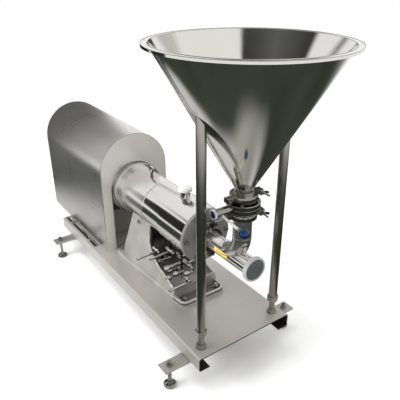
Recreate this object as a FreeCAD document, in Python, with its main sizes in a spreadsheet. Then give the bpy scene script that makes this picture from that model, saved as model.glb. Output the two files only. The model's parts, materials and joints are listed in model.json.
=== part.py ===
import FreeCAD, Part
import math
import os
import re
import Sketcher

# Inline emulsifying pump on a folded base plate: motor hood at -X, pump in the middle,
# liquid inlet at +X and powder hopper above it. Z is up, the feet stand on Z = 0 and the
# origin is under the middle of the whole machine. All sizes are millimetres.

SIZES = {
    # base plate, a folded sheet with a lip along each long side
    "base_width": 500, "base_height": 178, "base_tail": 48,
    "base_sheet": 5, "base_drop": 67, "base_lip": 54, "base_bend": 9,
    "slot_width": 17, "slot_edge": 34, "slot_inset": 6, "slot_short": 84, "slot_long": 242,
    "slot_bridge": 13,
    # foot bars and levelling feet
    "bar_length": 732, "bar_width": 66, "bar_thick": 8, "bar_front_inset": 106,
    "bar_rear_inset": 145, "bar_screw_radius": 5, "bar_screw_inset": 28,
    "bar_screw_flats": 17, "bar_screw_head": 7, "bar_nut_height": 8, "bolt_spare": 4,
    "foot_inset": 36, "foot_pad_radius": 28, "foot_pad_height": 14, "foot_neck_radius": 13,
    "foot_neck_height": 26, "foot_stem_radius": 8, "foot_stem_spare": 22,
    "foot_nut_flats": 24, "foot_nut_height": 12, "foot_thread_gap": 0.4,
    # pump line, counted from the front face of the lantern flange
    "axis_rise": 360, "pump_place": -192,
    "flange_radius": 137, "flange_thick": 16, "barrel_radius": 121,
    "housing_length": 243, "seal_length": 150, "casing_length": 203,
    "casing_radius": 125, "casing_bore": 112, "casing_lip": 26, "casing_lip_bore": 97,
    "cover_radius": 128, "cover_thick": 16, "cover_spigot": 6, "joint_chamfer": 2.5,
    "housing_wall": 9, "coupling_bore": 96, "coupling_room": 112, "bearing_tube": 56,
    # shaft, bearings and seal
    "shaft_radius": 22.5, "shaft_collar": 27, "shaft_nose": 16, "shaft_thread": 10,
    "shaft_end": 20, "bearing_radius": 42.5, "bearing_width": 19, "bearing_ring": 5.5,
    "bearing_seat_rear": 22, "bearing_seat_front": 24, "bearing_balls": 9,
    "running_gap": 0.4, "seal_bore": 42, "seal_wall": 13, "seal_tube_wall": 8,
    "seal_seat_thick": 9, "seal_seat_radius": 38, "seal_face_thick": 12,
    "seal_face_radius": 34, "seal_spring_length": 46, "seal_spring_radius": 29,
    "seal_wire": 2.4, "seal_turns": 6, "seal_collar_thick": 12,
    # rotor and stator
    "rotor_radius": 60, "rotor_length": 54, "rotor_web": 14, "rotor_hub": 26,
    "rotor_step": 12, "rotor_clear": 8,
    "rotor_teeth": 18, "rotor_slot": 6, "rotor_tooth_wall": 9, "rotor_gap": 0.7,
    "stator_wall": 8, "stator_slots": 24, "stator_slot": 5, "stator_flange": 8,
    "stator_flange_radius": 90, "rotor_nut_flats": 30, "rotor_nut_height": 16,
    # cover studs
    "cover_studs": 6, "stud_circle": 109, "stud_radius": 6, "stud_depth": 20,
    "cover_nut_flats": 19, "cover_nut_height": 10, "stud_spare": 5,
    # sanitary tube, ferrules and clamps
    "tube_radius": 38.1, "tube_wall": 2, "ferrule_radius": 45.5, "ferrule_edge": 3,
    "ferrule_root": 6, "gasket_thick": 1.6, "nozzle_length": 35, "elbow_bend": 114,
    "elbow_run": 92.4,
    "clamp_radius": 56, "clamp_height": 24, "clamp_slack": 0.3,
    "clamp_split": 5, "lug_reach": 78, "lug_width": 22, "lug_thick": 12, "lug_height": 20,
    "pin_radius": 4, "bolt_radius": 4, "bolt_length": 74, "bolt_tail": 8,
    "wing_hub_radius": 9, "wing_hub_length": 16, "wing_span": 42, "wing_thick": 6.5,
    "upper_clamp_turn": 0, "lower_clamp_turn": -15,
    "pump_clamp_turn": 90,
    # liquid inlet
    "inlet_reach": 88, "pipe_saddle": 24, "saddle_wall": 3.2, "saddle_length": 40,
    "cap_radius": 53, "cap_length": 16, "cap_wall": 3, "cap_gap": 0.5,
    # discharge stub
    "outlet_offset": 55, "outlet_tube": 21.5, "outlet_rise": 172, "outlet_ferrule": 27.5,
    "outlet_cap": 33.5, "outlet_cap_length": 15,
    # valve under the hopper
    "post_inset": 58, "valve_centre": 614, "valve_length": 78, "valve_radius": 66,
    "valve_flange": 40, "valve_waist": 50, "valve_seat_wall": 2, "valve_seat_length": 24,
    "disc_thick": 6, "disc_gap": 0.5, "stem_radius": 6, "stem_boss_radius": 15,
    "stem_boss_length": 10, "hub_radius": 18, "hub_start": 78, "hub_length": 62,
    "hub_cap_thick": 8, "lever_side": 120, "lever_length": 150, "lever_radius": 4.5,
    "lever_droop": 8, "knob_radius": 20, "valve_bolt_radius": 4, "valve_bolt_circle": 58,
    "valve_bolt_flats": 13, "valve_bolt_head": 6,
    # hopper
    "hopper_mouth": 345, "rim_width": 20.4, "hopper_top": 1218, "hopper_neck_top": 690,
    "hopper_wall": 2.5, "rim_thick": 3, "rim_lip": 9,
    "post_edge": 49.5, "post_radius": 19, "post_wall": 2, "post_clear": 24,
    "sleeve_low": 69, "sleeve_collar": 25, "sleeve_plug": 29, "sleeve_flats": 44,
    "stud_post_radius": 12, "stud_reach": 28,
    "post_nut_flats": 36, "post_nut_height": 15, "post_washer": 23, "post_washer_thick": 3,
    # pedestal casting
    "foot_rear": 27, "foot_front": 604, "foot_rear_half": 160, "foot_front_half": 124,
    "foot_shoulder": 132, "foot_thick": 25, "foot_corner": 36, "foot_round": 7,
    "web_base_half": 131, "web_top_half": 86, "web_top": 320, "web_wall": 13,
    "web_rear_low": 13, "web_rear_high": 87, "web_rear_wall": 14, "web_shoulder": 40,
    "web_front_high": 264, "web_brow": 190,
    "web_knee_x": 290, "web_knee": 155, "web_toe_x": 324, "web_toe": 128,
    "web_step_x": 368, "web_step": 106, "web_end": 526, "web_end_height": 60,
    "web_end_wall": 14, "web_bridge": 15, "pan_rim": 10, "pan_depth": 14,
    "hold_rear": 2, "hold_rear_half": 133, "hold_front": 570, "hold_front_half": 92,
    "hold_radius": 8, "hold_nut_flats": 24, "hold_nut_height": 14, "hold_spare": 12,
    "hold_depth": 36, "side_bolt_x": 163, "side_bolt_z": 260, "side_bolt_radius": 5,
    "side_bolt_flats": 17, "side_bolt_head": 8, "side_bolt_face": 99, "side_bolt_tip": 58,
    "side_boss_radius": 13,
    # flush and drain pipes with small ball valves
    "flush_pipe": 6, "flush_small": 5, "flush_wide": 8, "flush_body": 8.5, "flush_hex": 19,
    "flush_end": 9, "flush_run": 9, "flush_tail": 14, "flush_stem": 4, "flush_neck_gap": 6,
    "flush_handle": 5, "flush_handle_length": 110, "handle_overhang": 6, "handle_tilt": 3,
    "seal_out_x": 310, "seal_out_side": 96, "seal_out_z": 152, "seal_out_back": 10,
    "seal_out_body": 42, "seal_in_x": 372, "seal_in_side": 58, "seal_in_z": 170,
    "seal_in_back": 9, "seal_in_body": 54, "drain_x": 532, "drain_side": 50, "drain_z": 78,
    "drain_back": 40, "drain_body": 50, "flush_lift": 17,
    "flange_face": 15, "flange_edge": 5, "union_flats": 20, "union_length": 25,
    # lifting eye on the bearing housing
    "eye_place": 142, "eye_spot": 0.6, "eye_height": 38, "eye_ring": 15, "eye_wire": 4.5,
    "eye_collar": 10, "eye_collar_thick": 5, "eye_neck": 7, "eye_bolt": 6, "eye_spare": 3,
    # hood
    "hood_gap": 50, "hood_length": 786, "hood_slot_gap": 19, "hood_side": 458,
    "hood_sheet": 2, "hood_opening": 140, "hood_tab": 34, "hood_tab_thick": 3,
    "hood_tab_width": 24, "hood_screw_radius": 3, "hood_screw_head": 6, "hood_screw_rise": 4,
    "vent_width": 120, "vent_height": 8, "vent_pitch": 26, "vent_low": 150, "vent_rows": 8,
    "vent_gap": 12,
    # motor
    "motor_flange": 20, "motor_neck": 38, "motor_neck_radius": 112, "motor_radius": 150,
    "motor_length": 520, "motor_fin": 14, "motor_fin_thick": 5, "motor_fins": 28,
    "motor_fin_inset": 15, "motor_wall": 11, "motor_shield": 36, "stator_bore": 88,
    "stator_core": 300, "winding_step": 14, "winding_reach": 35, "air_gap": 1,
    "motor_shaft": 24, "fan_radius": 128, "fan_blade": 34, "fan_gap": 12, "fan_blades": 8,
    "fan_sheet": 4, "fan_hub_radius": 34, "cowl_length": 96, "cowl_seat": 12,
    "cowl_radius": 156, "cowl_wall": 2, "cowl_hole": 7, "cowl_pitch": 30,
    "motor_height": 180, "motor_foot": 16, "motor_foot_width": 64, "motor_foot_half": 162,
    "motor_foot_side": 143, "motor_foot_shift": 18, "motor_foot_rib": 22,
    "motor_foot_rise": 110, "motor_rib_side": 96, "hold_head": 10, "stool_plate": 12,
    "stool_front": 130, "stool_rear": 430, "stool_half": 165, "stool_depth": 70,
    "stool_hole_inset": 20, "stool_web_inset": 35,
    # bolts between motor and lantern, and motor bearings
    "lantern_bolts": 4, "lantern_circle": 126, "lantern_bolt": 5, "lantern_bolt_flats": 16,
    "lantern_bolt_head": 7, "motor_bearing_radius": 55, "motor_bearing_width": 27,
    # coupling
    "coupling_radius": 56, "coupling_body": 26, "coupling_jaw": 20, "coupling_start": 10,
    "jaws": 3, "jaw_angle": 44, "jaw_inner": 36, "spider_arm": 9, "spider_gap": 0.5,
    "spider_root": 20, "spider_bore": 16,
}

# places that are worked out from the sizes
PLATE = "base_height"
AXIS = "(base_height + axis_rise)"
LIP = "(base_height - base_drop)"
PUMP = "pump_place"
SEAL = f"({PUMP} + housing_length)"
CASING = f"({SEAL} + seal_length)"
COVER = f"({CASING} + casing_length)"
NOSE = f"({COVER} + cover_thick)"
JOINT = f"({NOSE} + nozzle_length)"
ELBOW_X = f"({JOINT} + gasket_thick)"
HOPPER = f"({ELBOW_X} + elbow_run + elbow_bend)"
VALVE = "(base_height + valve_centre)"
VALVE_TOP = f"({VALVE} + valve_length / 2)"
VALVE_LOW = f"({VALVE} - valve_length / 2)"
NECK_FACE = f"({VALVE_TOP} + gasket_thick)"
ELBOW_FACE = f"({VALVE_LOW} - gasket_thick)"
NECK_TOP = "(base_height + hopper_neck_top)"
RIM = "(hopper_mouth + rim_width)"
ROTOR = f"({COVER} - rotor_clear - rotor_length)"
OUTLET_X = f"({CASING} + outlet_offset)"
OUTLET_TOP = f"({AXIS} + outlet_rise)"
LANTERN = f"({PUMP} - flange_thick)"
MOTOR = f"({LANTERN} - motor_flange - motor_neck)"
MOTOR_END = f"({MOTOR} - motor_length)"
MOTOR_FOOT = f"({AXIS} - motor_height)"
REAR = f"({MOTOR} - stool_rear - stool_depth / 2 - base_tail)"
FRONT = f"({HOPPER} + post_inset)"
BAR_FRONT = f"({FRONT} - bar_front_inset)"
BAR_REAR = f"({REAR} + bar_rear_inset)"
SLOT_SIDE = "(base_width / 2 - slot_edge)"
POST_SIDE = "(base_width / 2 - post_edge)"
HOOD = f"({PUMP} - hood_gap)"
HOOD_REAR = f"({HOOD} - hood_length)"
HOOD_HALF = f"({SLOT_SIDE} - hood_slot_gap)"
HOOD_ARCH = "(base_height + hood_side)"
BORE = "(tube_radius - tube_wall)"
MOTOR_HUB = f"({LANTERN} + coupling_start)"
SPIDER = f"({MOTOR_HUB} + coupling_body)"
PUMP_HUB = f"({SPIDER} + coupling_jaw)"

UP = FreeCAD.Rotation()
ALONG_X = FreeCAD.Rotation(FreeCAD.Vector(0, 1, 0), 90)
ALONG_Y = FreeCAD.Rotation(FreeCAD.Vector(1, 0, 0), -90)
SIDES = (("near", -1), ("far", 1))

doc = FreeCAD.newDocument("emulsifying_pump")
sheet = doc.addObject("Spreadsheet::Sheet", "Sheet")
nodes = {}


def fill_sheet():
    for row, (name, size) in enumerate(SIZES.items(), start=1):
        sheet.set(f"A{row}", name)
        sheet.set(f"B{row}", str(size))
        sheet.setAlias(f"B{row}", name)
    doc.recompute()


def formula(text):
    """Turn plain size names into references to the sheet's cells."""
    def cell(match):
        word = match.group()
        return f"Sheet.{word}" if word in SIZES else word
    return re.sub(r"[a-z_][a-z_0-9]*", cell, str(text))


def bind(thing, **sizes):
    for name, text in sizes.items():
        thing.setExpression(name, formula(text))


def place(thing, x=0, y=0, z=0, turn=UP):
    thing.Placement = FreeCAD.Placement(FreeCAD.Vector(), turn)
    for letter, text in zip("xyz", (x, y, z)):
        thing.setExpression(f"Placement.Base.{letter}", formula(text))
    return thing


def keep(label, thing):
    """Give a finished sub-part its name."""
    thing.Label = label
    nodes[label] = thing
    return thing


def rod(name, radius, length, x=0, y=0, z=0, turn=UP):
    thing = doc.addObject("Part::Cylinder", name)
    bind(thing, Radius=radius, Height=length)
    return place(thing, x, y, z, turn)


def cone(name, low, high, length, x=0, y=0, z=0, turn=UP):
    thing = doc.addObject("Part::Cone", name)
    bind(thing, Radius1=low, Radius2=high, Height=length)
    return place(thing, x, y, z, turn)


def ball(name, radius, x, y, z):
    thing = doc.addObject("Part::Sphere", name)
    bind(thing, Radius=radius)
    return place(thing, x, y, z)


def block(name, length, width, height, x, y, z, turn=UP):
    """A box that is centred on Y = y, from x and z upwards."""
    thing = doc.addObject("Part::Box", name)
    bind(thing, Length=length, Width=width, Height=height)
    return place(thing, x, f"{y} - ({width}) / 2", z, turn)


def prism(name, flats, height, x, y, z, turn=UP):
    """A hexagonal prism, sized across its flats."""
    thing = doc.addObject("Part::Prism", name)
    thing.Polygon = 6
    bind(thing, Circumradius=f"({flats}) / {math.sqrt(3):.6f}", Height=height)
    return place(thing, x, y, z, turn)


def fuse(name, *things):
    if len(things) == 1:
        return things[0]
    thing = doc.addObject("Part::MultiFuse", name)
    thing.Shapes = list(things)
    return thing


def cut(name, base, *tools):
    thing = doc.addObject("Part::Cut", name)
    thing.Base = base
    thing.Tool = fuse(f"{name}_tools", *tools)
    return thing


def common(name, first, second):
    thing = doc.addObject("Part::MultiCommon", name)
    thing.Shapes = [first, second]
    return thing


def group(name, things):
    """Separate solids that share one node."""
    thing = doc.addObject("Part::Compound", name)
    thing.Links = list(things)
    return thing


def nut(name, flats, height, bore, x, y, z, turn=UP):
    hexagon = prism(f"{name}_hex", flats, height, x, y, z, turn)
    hole = rod(f"{name}_hole", bore, height, x, y, z, turn)
    return cut(name, hexagon, hole)


def outline(body, points, plane):
    """A closed sketch of straight lines on one of the body's own planes."""
    sketch = body.newObject("Sketcher::SketchObject", f"{body.Name}_outline")
    origin_plane = [f for f in body.Origin.OriginFeatures if f.Role == plane][0]
    sketch.AttachmentSupport = [(origin_plane, "")]
    sketch.MapMode = "FlatFace"
    count = len(points)
    guess = []
    for i in range(count):
        turn = 2 * math.pi * i / count
        guess.append(FreeCAD.Vector(500 + 100 * math.cos(turn), 300 - 100 * math.sin(turn), 0))
    for i in range(count):
        sketch.addGeometry(Part.LineSegment(guess[i], guess[(i + 1) % count]), False)
    for i in range(count):
        sketch.addConstraint(Sketcher.Constraint("Coincident", i, 2, (i + 1) % count, 1))
    for i, point in enumerate(points):
        for kind, start, text in zip(("DistanceX", "DistanceY"), guess[i][:2], point):
            rule = Sketcher.Constraint(kind, -1, 1, i, 1, start)
            index = sketch.addConstraint(rule)
            sketch.setExpression(f"Constraints[{index}]", formula(text))
    return sketch


def turned(name, points, axis, x=0, y=0, z=0):
    """A body turned about X (points are x, radius) or about Z (points are radius, z)."""
    body = doc.addObject("PartDesign::Body", name)
    sketch = outline(body, points, "XZ_Plane")
    spin = body.newObject("PartDesign::Revolution", f"{name}_turned")
    spin.Profile = sketch
    spin.ReferenceAxis = (sketch, ["H_Axis" if axis == "X" else "V_Axis"])
    spin.Angle = 360
    sketch.Visibility = False
    body.Tip = spin
    return place(body, x, y, z)


def padded(name, points, plane, length, x=0, y=0, z=0):
    """A body with a straight-sided outline, thickened along the plane's normal."""
    body = doc.addObject("PartDesign::Body", name)
    sketch = outline(body, points, plane)
    pad = body.newObject("PartDesign::Pad", f"{name}_pad")
    pad.Profile = sketch
    bind(pad, Length=length)
    body.Tip = pad
    return place(body, x, y, z)


def rounded(body, radius, wanted):
    """Fillet the edges of the body's last feature that the test picks."""
    doc.recompute()
    tip = body.Tip
    names = []
    for number, edge in enumerate(tip.Shape.Edges, start=1):
        if wanted(edge):
            names.append(f"Edge{number}")
    fillet = body.newObject("PartDesign::Fillet", f"{tip.Name}_round")
    fillet.Base = (tip, names)
    bind(fillet, Radius=radius)
    body.Tip = fillet
    return body


def is_upright(edge):
    ends = [vertex.Point for vertex in edge.Vertexes]
    return len(ends) == 2 and abs(ends[0].x - ends[1].x) + abs(ends[0].y - ends[1].y) < 0.01


def is_lengthwise(edge):
    ends = [vertex.Point for vertex in edge.Vertexes]
    return len(ends) == 2 and abs(ends[0].y - ends[1].y) + abs(ends[0].z - ends[1].z) < 0.01


def around(count, start=0):
    """Cosine, sine and angle of each place of a ring pattern."""
    for i in range(count):
        angle = start + 360 * i / count
        yield i, math.cos(math.radians(angle)), math.sin(math.radians(angle)), angle


def about_x(angle):
    return FreeCAD.Rotation(FreeCAD.Vector(1, 0, 0), angle)


def about_z(angle):
    return FreeCAD.Rotation(FreeCAD.Vector(0, 0, 1), angle)


# base


def slot_places():
    """Start and length of each air slot beside the hood, from the plate's rear end."""
    first = f"({REAR} + slot_inset)"
    second = f"({first} + slot_short + slot_bridge)"
    third = f"({second} + slot_long + slot_bridge)"
    return ((first, "slot_short"), (second, "slot_long"), (third, "slot_short"))


def bridge_places():
    second = slot_places()[1][0]
    third = slot_places()[2][0]
    return (f"({second} - slot_bridge / 2)", f"({third} - slot_bridge / 2)")


def hold_places():
    """Each stud of the casting's foot: name, X, Y and the height of its nut's seat."""
    for x, half, seat in (("hold_rear", "hold_rear_half", "foot_thick"),
                          ("hold_front", "hold_front_half", "(foot_thick - pan_depth)")):
        for side, sign in SIDES:
            yield f"{half}_{side}", f"({PUMP} + {x})", f"{sign} * {half}", seat


def stool_places():
    for end in ("stool_front", "stool_rear"):
        for side, sign in SIDES:
            yield f"{end}_{side}", f"({MOTOR} - {end})", f"{sign} * (stool_half - stool_hole_inset)"


def motor_foot_places():
    for end in ("stool_front", "stool_rear"):
        for side, sign in SIDES:
            yield f"{end}_{side}", f"({MOTOR} - {end} + motor_foot_shift)", f"{sign} * motor_foot_side"


def base_frame():
    half = "base_width / 2"
    inner = "(base_width / 2 - base_sheet)"
    lip = "(base_width / 2 - base_lip)"
    points = [(f"-{half}", 0), (half, 0), (half, "-base_drop"), (lip, "-base_drop"),
              (lip, "base_sheet - base_drop"), (inner, "base_sheet - base_drop"),
              (inner, "-base_sheet"), (f"-{inner}", "-base_sheet"),
              (f"-{inner}", "base_sheet - base_drop"), (f"-{lip}", "base_sheet - base_drop"),
              (f"-{lip}", "-base_drop"), (f"-{half}", "-base_drop")]
    sheet_body = padded("base_fold", points, "YZ_Plane", f"{FRONT} - {REAR}", REAR, 0, PLATE)
    half_width = SIZES["base_width"] / 2

    def outer_bend(edge):
        return is_lengthwise(edge) and abs(abs(edge.Vertexes[0].Point.y) - half_width) < 0.01

    def inner_bend(edge):
        y = abs(edge.Vertexes[0].Point.y)
        return is_lengthwise(edge) and abs(y - half_width + SIZES["base_sheet"]) < 0.01

    rounded(sheet_body, "base_bend", outer_bend)
    rounded(sheet_body, "base_bend - base_sheet", inner_bend)
    tools = []
    for i, (start, length) in enumerate(slot_places()):
        for side, sign in SIDES:
            name = f"air_slot_{side}_{i}"
            tools.append(block(name, length, "slot_width", "base_sheet + 2", start,
                               f"{sign} * {SLOT_SIDE}", "base_height - base_sheet - 1"))
    through = ("base_sheet + 2", "base_height - base_sheet - 1")
    for side, sign in SIDES:
        tools.append(rod(f"post_hole_{side}", "stud_post_radius + 0.5", through[0], HOPPER,
                         f"{sign} * {POST_SIDE}", through[1]))
        for end, x in enumerate(bridge_places()):
            tools.append(rod(f"tab_hole_{side}_{end}", "hood_screw_radius + 0.5", through[0],
                             x, f"{sign} * {SLOT_SIDE}", through[1]))
    for name, x, y, seat in hold_places():
        tools.append(rod(f"{name}_hole", "hold_radius + 0.5", through[0], x, y, through[1]))
    for name, x, y in stool_places():
        tools.append(rod(f"{name}_hole", "hold_radius + 0.5", through[0], x, y, through[1]))
    for name, x, y in bar_screw_places():
        tools.append(rod(f"{name}_lip_hole", "bar_screw_radius + 0.5", "base_sheet + 2",
                         x, y, f"{LIP} - 1"))
    keep("base_frame", cut("base_cut", sheet_body, *tools))


def bar_screw_places():
    for end, x in (("front", BAR_FRONT), ("rear", BAR_REAR)):
        for side, sign in SIDES:
            yield f"bar_{end}_{side}", x, f"{sign} * (base_width / 2 - bar_screw_inset)"


def foot_places():
    for end, x in (("front", BAR_FRONT), ("rear", BAR_REAR)):
        for side, sign in SIDES:
            yield f"{end}_{side}", x, f"{sign} * (bar_length / 2 - foot_inset)"


def foot_bars():
    bars = []
    low = f"({LIP} - bar_thick)"
    for end, x in (("front", BAR_FRONT), ("rear", BAR_REAR)):
        bar = block(f"bar_{end}", "bar_width", "bar_length", "bar_thick",
                    f"{x} - bar_width / 2", 0, low)
        holes = []
        for name, hole_x, y in foot_places():
            if name.startswith(end):
                holes.append(rod(f"{name}_bar_hole", "foot_stem_radius + foot_thread_gap",
                                 "bar_thick + 2", hole_x, y, f"{low} - 1"))
        for name, hole_x, y in bar_screw_places():
            if end in name:
                holes.append(rod(f"{name}_bar_hole", "bar_screw_radius + 0.5",
                                 "bar_thick + 2", hole_x, y, f"{low} - 1"))
        bars.append(cut(f"bar_{end}_cut", bar, *holes))
    keep("foot_bars", group("foot_bar_pair", bars))


def foot_bar_fasteners():
    """A screw and a nut at each lip, and two lock nuts on each foot's thread."""
    pieces = []
    low = f"({LIP} - bar_thick)"
    for name, x, y in bar_screw_places():
        shank = rod(f"{name}_shank", "bar_screw_radius",
                    "bar_thick + base_sheet + bar_nut_height + bolt_spare", x, y,
                    f"{low} - bar_nut_height - bolt_spare")
        head = prism(f"{name}_head", "bar_screw_flats", "bar_screw_head", x, y,
                     f"{LIP} + base_sheet")
        pieces.append(fuse(f"{name}_screw", shank, head))
        pieces.append(nut(f"{name}_nut", "bar_screw_flats", "bar_nut_height",
                          "bar_screw_radius", x, y, f"{low} - bar_nut_height"))
    bore = "foot_stem_radius + foot_thread_gap"
    for name, x, y in foot_places():
        pieces.append(nut(f"{name}_lock_top", "foot_nut_flats", "foot_nut_height", bore, x, y,
                          LIP))
        pieces.append(nut(f"{name}_lock_low", "foot_nut_flats", "foot_nut_height", bore, x, y,
                          f"{low} - foot_nut_height"))
    keep("foot_bar_fasteners", group("foot_bar_fastener_set", pieces))


def levelling_feet():
    for name, x, y in foot_places():
        points = [(0, 0), ("foot_pad_radius - 2", 0), ("foot_pad_radius", 3),
                  ("foot_pad_radius", "foot_pad_height - 5"),
                  ("foot_pad_radius - 4", "foot_pad_height"),
                  ("foot_neck_radius", "foot_pad_height + 5"),
                  ("foot_neck_radius - 2", "foot_neck_height"),
                  ("foot_stem_radius", "foot_neck_height"),
                  ("foot_stem_radius", f"{LIP} + foot_stem_spare - 1"),
                  ("foot_stem_radius - 1", f"{LIP} + foot_stem_spare"),
                  (0, f"{LIP} + foot_stem_spare")]
        keep(f"levelling_foot_{name}", turned(f"foot_{name}", points, "Z", x, y, 0))


# pump housings


def lantern_places():
    for i, cos, sin, angle in around(SIZES["lantern_bolts"], 45):
        yield (i, f"lantern_circle * {cos:.6f}", f"{AXIS} + lantern_circle * {sin:.6f}")


def side_rod(name, radius, start, end, sign):
    """A round bar across the pump line, between two distances from the middle."""
    low = start if sign > 0 else f"-({end})"
    return rod(name, radius, f"{end} - ({start})", f"{PUMP} + side_bolt_x", low,
               f"{PLATE} + side_bolt_z", ALONG_Y)


def bearing_housing():
    back = "-flange_thick"
    front = "housing_length"
    wall = "(barrel_radius - housing_wall)"
    room = "(coupling_room - flange_thick)"
    floor = "(coupling_room - flange_thick + 12)"
    points = [(back, "coupling_bore"), (back, "flange_radius"), (0, "flange_radius"),
              (0, "barrel_radius"), ("housing_length - joint_chamfer", "barrel_radius"),
              (front, "barrel_radius - joint_chamfer"), (front, wall), (floor, wall),
              (floor, "bearing_tube"), ("housing_length - 8", "bearing_tube"),
              ("housing_length - 8", "bearing_radius"),
              (f"{room} + 8", "bearing_radius"), (f"{room} + 8", "shaft_collar + 2"),
              (room, "shaft_collar + 2"), (room, "coupling_bore")]
    body = turned("bearing_housing_turned", points, "X", PUMP, 0, AXIS)
    holes = []
    for i, y, z in lantern_places():
        holes.append(rod(f"lantern_hole_{i}", "lantern_bolt", "flange_thick - 4 + 1",
                         f"{LANTERN} - 1", y, z, ALONG_X))
    for side, sign in SIDES:
        holes.append(side_rod(f"housing_screw_{side}", "side_bolt_radius",
                              "side_bolt_tip", "side_bolt_face", sign))
    x, seat = eye_seat()
    holes.append(rod("eye_spot_face", "eye_collar + 0.5", "eye_spot + 1", x, 0, seat))
    holes.append(rod("eye_hole", "eye_bolt", "housing_wall + 2", x, 0,
                     f"{seat} - housing_wall - 1"))
    keep("bearing_housing", cut("bearing_housing_cut", body, *holes))


def eye_seat():
    """X and Z of the spot face that the lifting eye's collar stands on."""
    return f"({PUMP} + eye_place)", f"({AXIS} + barrel_radius - eye_spot)"


def lifting_eye():
    """An eye bolt that is screwed into the top of the bearing housing."""
    x, seat = eye_seat()
    thread = rod("eye_thread", "eye_bolt", "housing_wall + eye_spare", x, 0,
                 f"{seat} - housing_wall - eye_spare")
    collar = rod("eye_collar_disc", "eye_collar", "eye_collar_thick", x, 0, seat)
    neck = cone("eye_neck_cone", "eye_neck", "eye_wire", "eye_height - eye_ring", x, 0, seat)
    ring = doc.addObject("Part::Torus", "eye_torus")
    bind(ring, Radius1="eye_ring", Radius2="eye_wire")
    place(ring, x, 0, f"{seat} + eye_height", ALONG_Y)
    keep("lifting_eye", fuse("eye_solid", thread, collar, neck, ring))


def seal_housing():
    end = "seal_length"
    wall = "(seal_length - seal_wall)"
    skin = "(barrel_radius - housing_wall)"
    tube = "(seal_bore + seal_tube_wall)"
    points = [(0, "barrel_radius - joint_chamfer"), ("joint_chamfer", "barrel_radius"),
              ("seal_length - joint_chamfer", "barrel_radius"),
              (end, "barrel_radius - joint_chamfer"), (end, "shaft_radius + 2"),
              (wall, "shaft_radius + 2"), (wall, "seal_bore"), (12, "seal_bore"),
              (12, tube), (f"{wall} - 2", tube), (f"{wall} - 2", skin), (0, skin)]
    keep("seal_housing", turned("seal_housing_turned", points, "X", SEAL, 0, AXIS))


def casing_solid():
    end = "casing_length"
    lip = "(casing_length - casing_lip)"
    points = [(0, "casing_radius - joint_chamfer"), ("joint_chamfer", "casing_radius"),
              (end, "casing_radius"), (end, "casing_lip_bore"), (lip, "casing_lip_bore"),
              (lip, "casing_bore"), (0, "casing_bore")]
    return turned("casing_ring", points, "X", CASING, 0, AXIS)


def ferrule_points(radius, wall, edge, length):
    """Half section of a tube with a clamp flange at its top end, as (radius, height)."""
    return [(f"{radius} - {wall}", 0), (radius, 0), (radius, f"{length} - ferrule_root"),
            (edge, f"{length} - ferrule_edge"), (edge, length), (f"{radius} - {wall}", length)]


def pump_casing():
    start = "casing_bore + 4"
    rise = f"outlet_rise - ({start})"
    tube = turned("outlet_turned",
                  [(0, 0)] + ferrule_points("outlet_tube", "outlet_tube", "outlet_ferrule",
                                            f"({rise})")[1:5] + [(0, rise)],
                  "Z", OUTLET_X, 0, f"{AXIS} + {start}")
    bore = rod("outlet_bore", "outlet_tube - tube_wall", "outlet_rise", OUTLET_X, 0,
               f"{AXIS} + casing_bore - 20")
    solid = fuse("casing_with_outlet", casing_solid(), tube)
    clear = rod("casing_clear", "casing_bore", "casing_length - casing_lip", CASING, 0, AXIS,
                ALONG_X)
    studs = stud_holes("casing", f"{COVER} - stud_depth", "stud_depth + 1", "0")
    keep("pump_casing", cut("casing_cut", solid, bore, clear, *studs))


def stud_places():
    for i, cos, sin, angle in around(SIZES["cover_studs"], 0):
        yield i, f"stud_circle * {cos:.6f}", f"{AXIS} + stud_circle * {sin:.6f}"


def stud_holes(owner, x, length, gap):
    holes = []
    for i, y, z in stud_places():
        holes.append(rod(f"{owner}_stud_hole_{i}", f"stud_radius + {gap}", length, x, y, z,
                         ALONG_X))
    return holes


def casing_cover():
    end = "(cover_thick + nozzle_length)"
    points = [("-cover_spigot", BORE), ("-cover_spigot", "casing_lip_bore - 0.3"),
              (0, "casing_lip_bore - 0.3"), (0, "cover_radius"),
              ("cover_thick - 3", "cover_radius"), ("cover_thick", "cover_radius - 3"),
              ("cover_thick", "tube_radius + 6"), ("cover_thick + 6", "tube_radius"),
              (f"{end} - ferrule_root", "tube_radius"),
              (f"{end} - ferrule_edge", "ferrule_radius"), (end, "ferrule_radius"),
              (end, BORE)]
    body = turned("cover_turned", points, "X", COVER, 0, AXIS)
    holes = stud_holes("cover", f"{COVER} - 1", "cover_thick + 2", "0.5")
    keep("casing_cover", cut("cover_cut", body, *holes))


def cover_nuts():
    pieces = []
    length = "stud_depth + cover_thick + cover_nut_height + stud_spare"
    for i, y, z in stud_places():
        pieces.append(rod(f"cover_stud_{i}", "stud_radius", length, f"{COVER} - stud_depth",
                          y, z, ALONG_X))
        pieces.append(nut(f"cover_nut_{i}", "cover_nut_flats", "cover_nut_height",
                          "stud_radius", NOSE, y, z, ALONG_X))
    keep("cover_nuts", group("cover_nut_set", pieces))


# shaft line


def bearing_starts():
    """X of each bearing's rear face."""
    return (("rear", f"({PUMP} + coupling_room - flange_thick + 8 + bearing_seat_rear)"),
            ("front", f"({SEAL} - 8 - bearing_seat_front - bearing_width)"))


def motor_bearing_starts():
    return (("motor_front", f"({MOTOR} + 4)"),
            ("motor_rear", f"({MOTOR_END} - motor_bearing_width)"))


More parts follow.
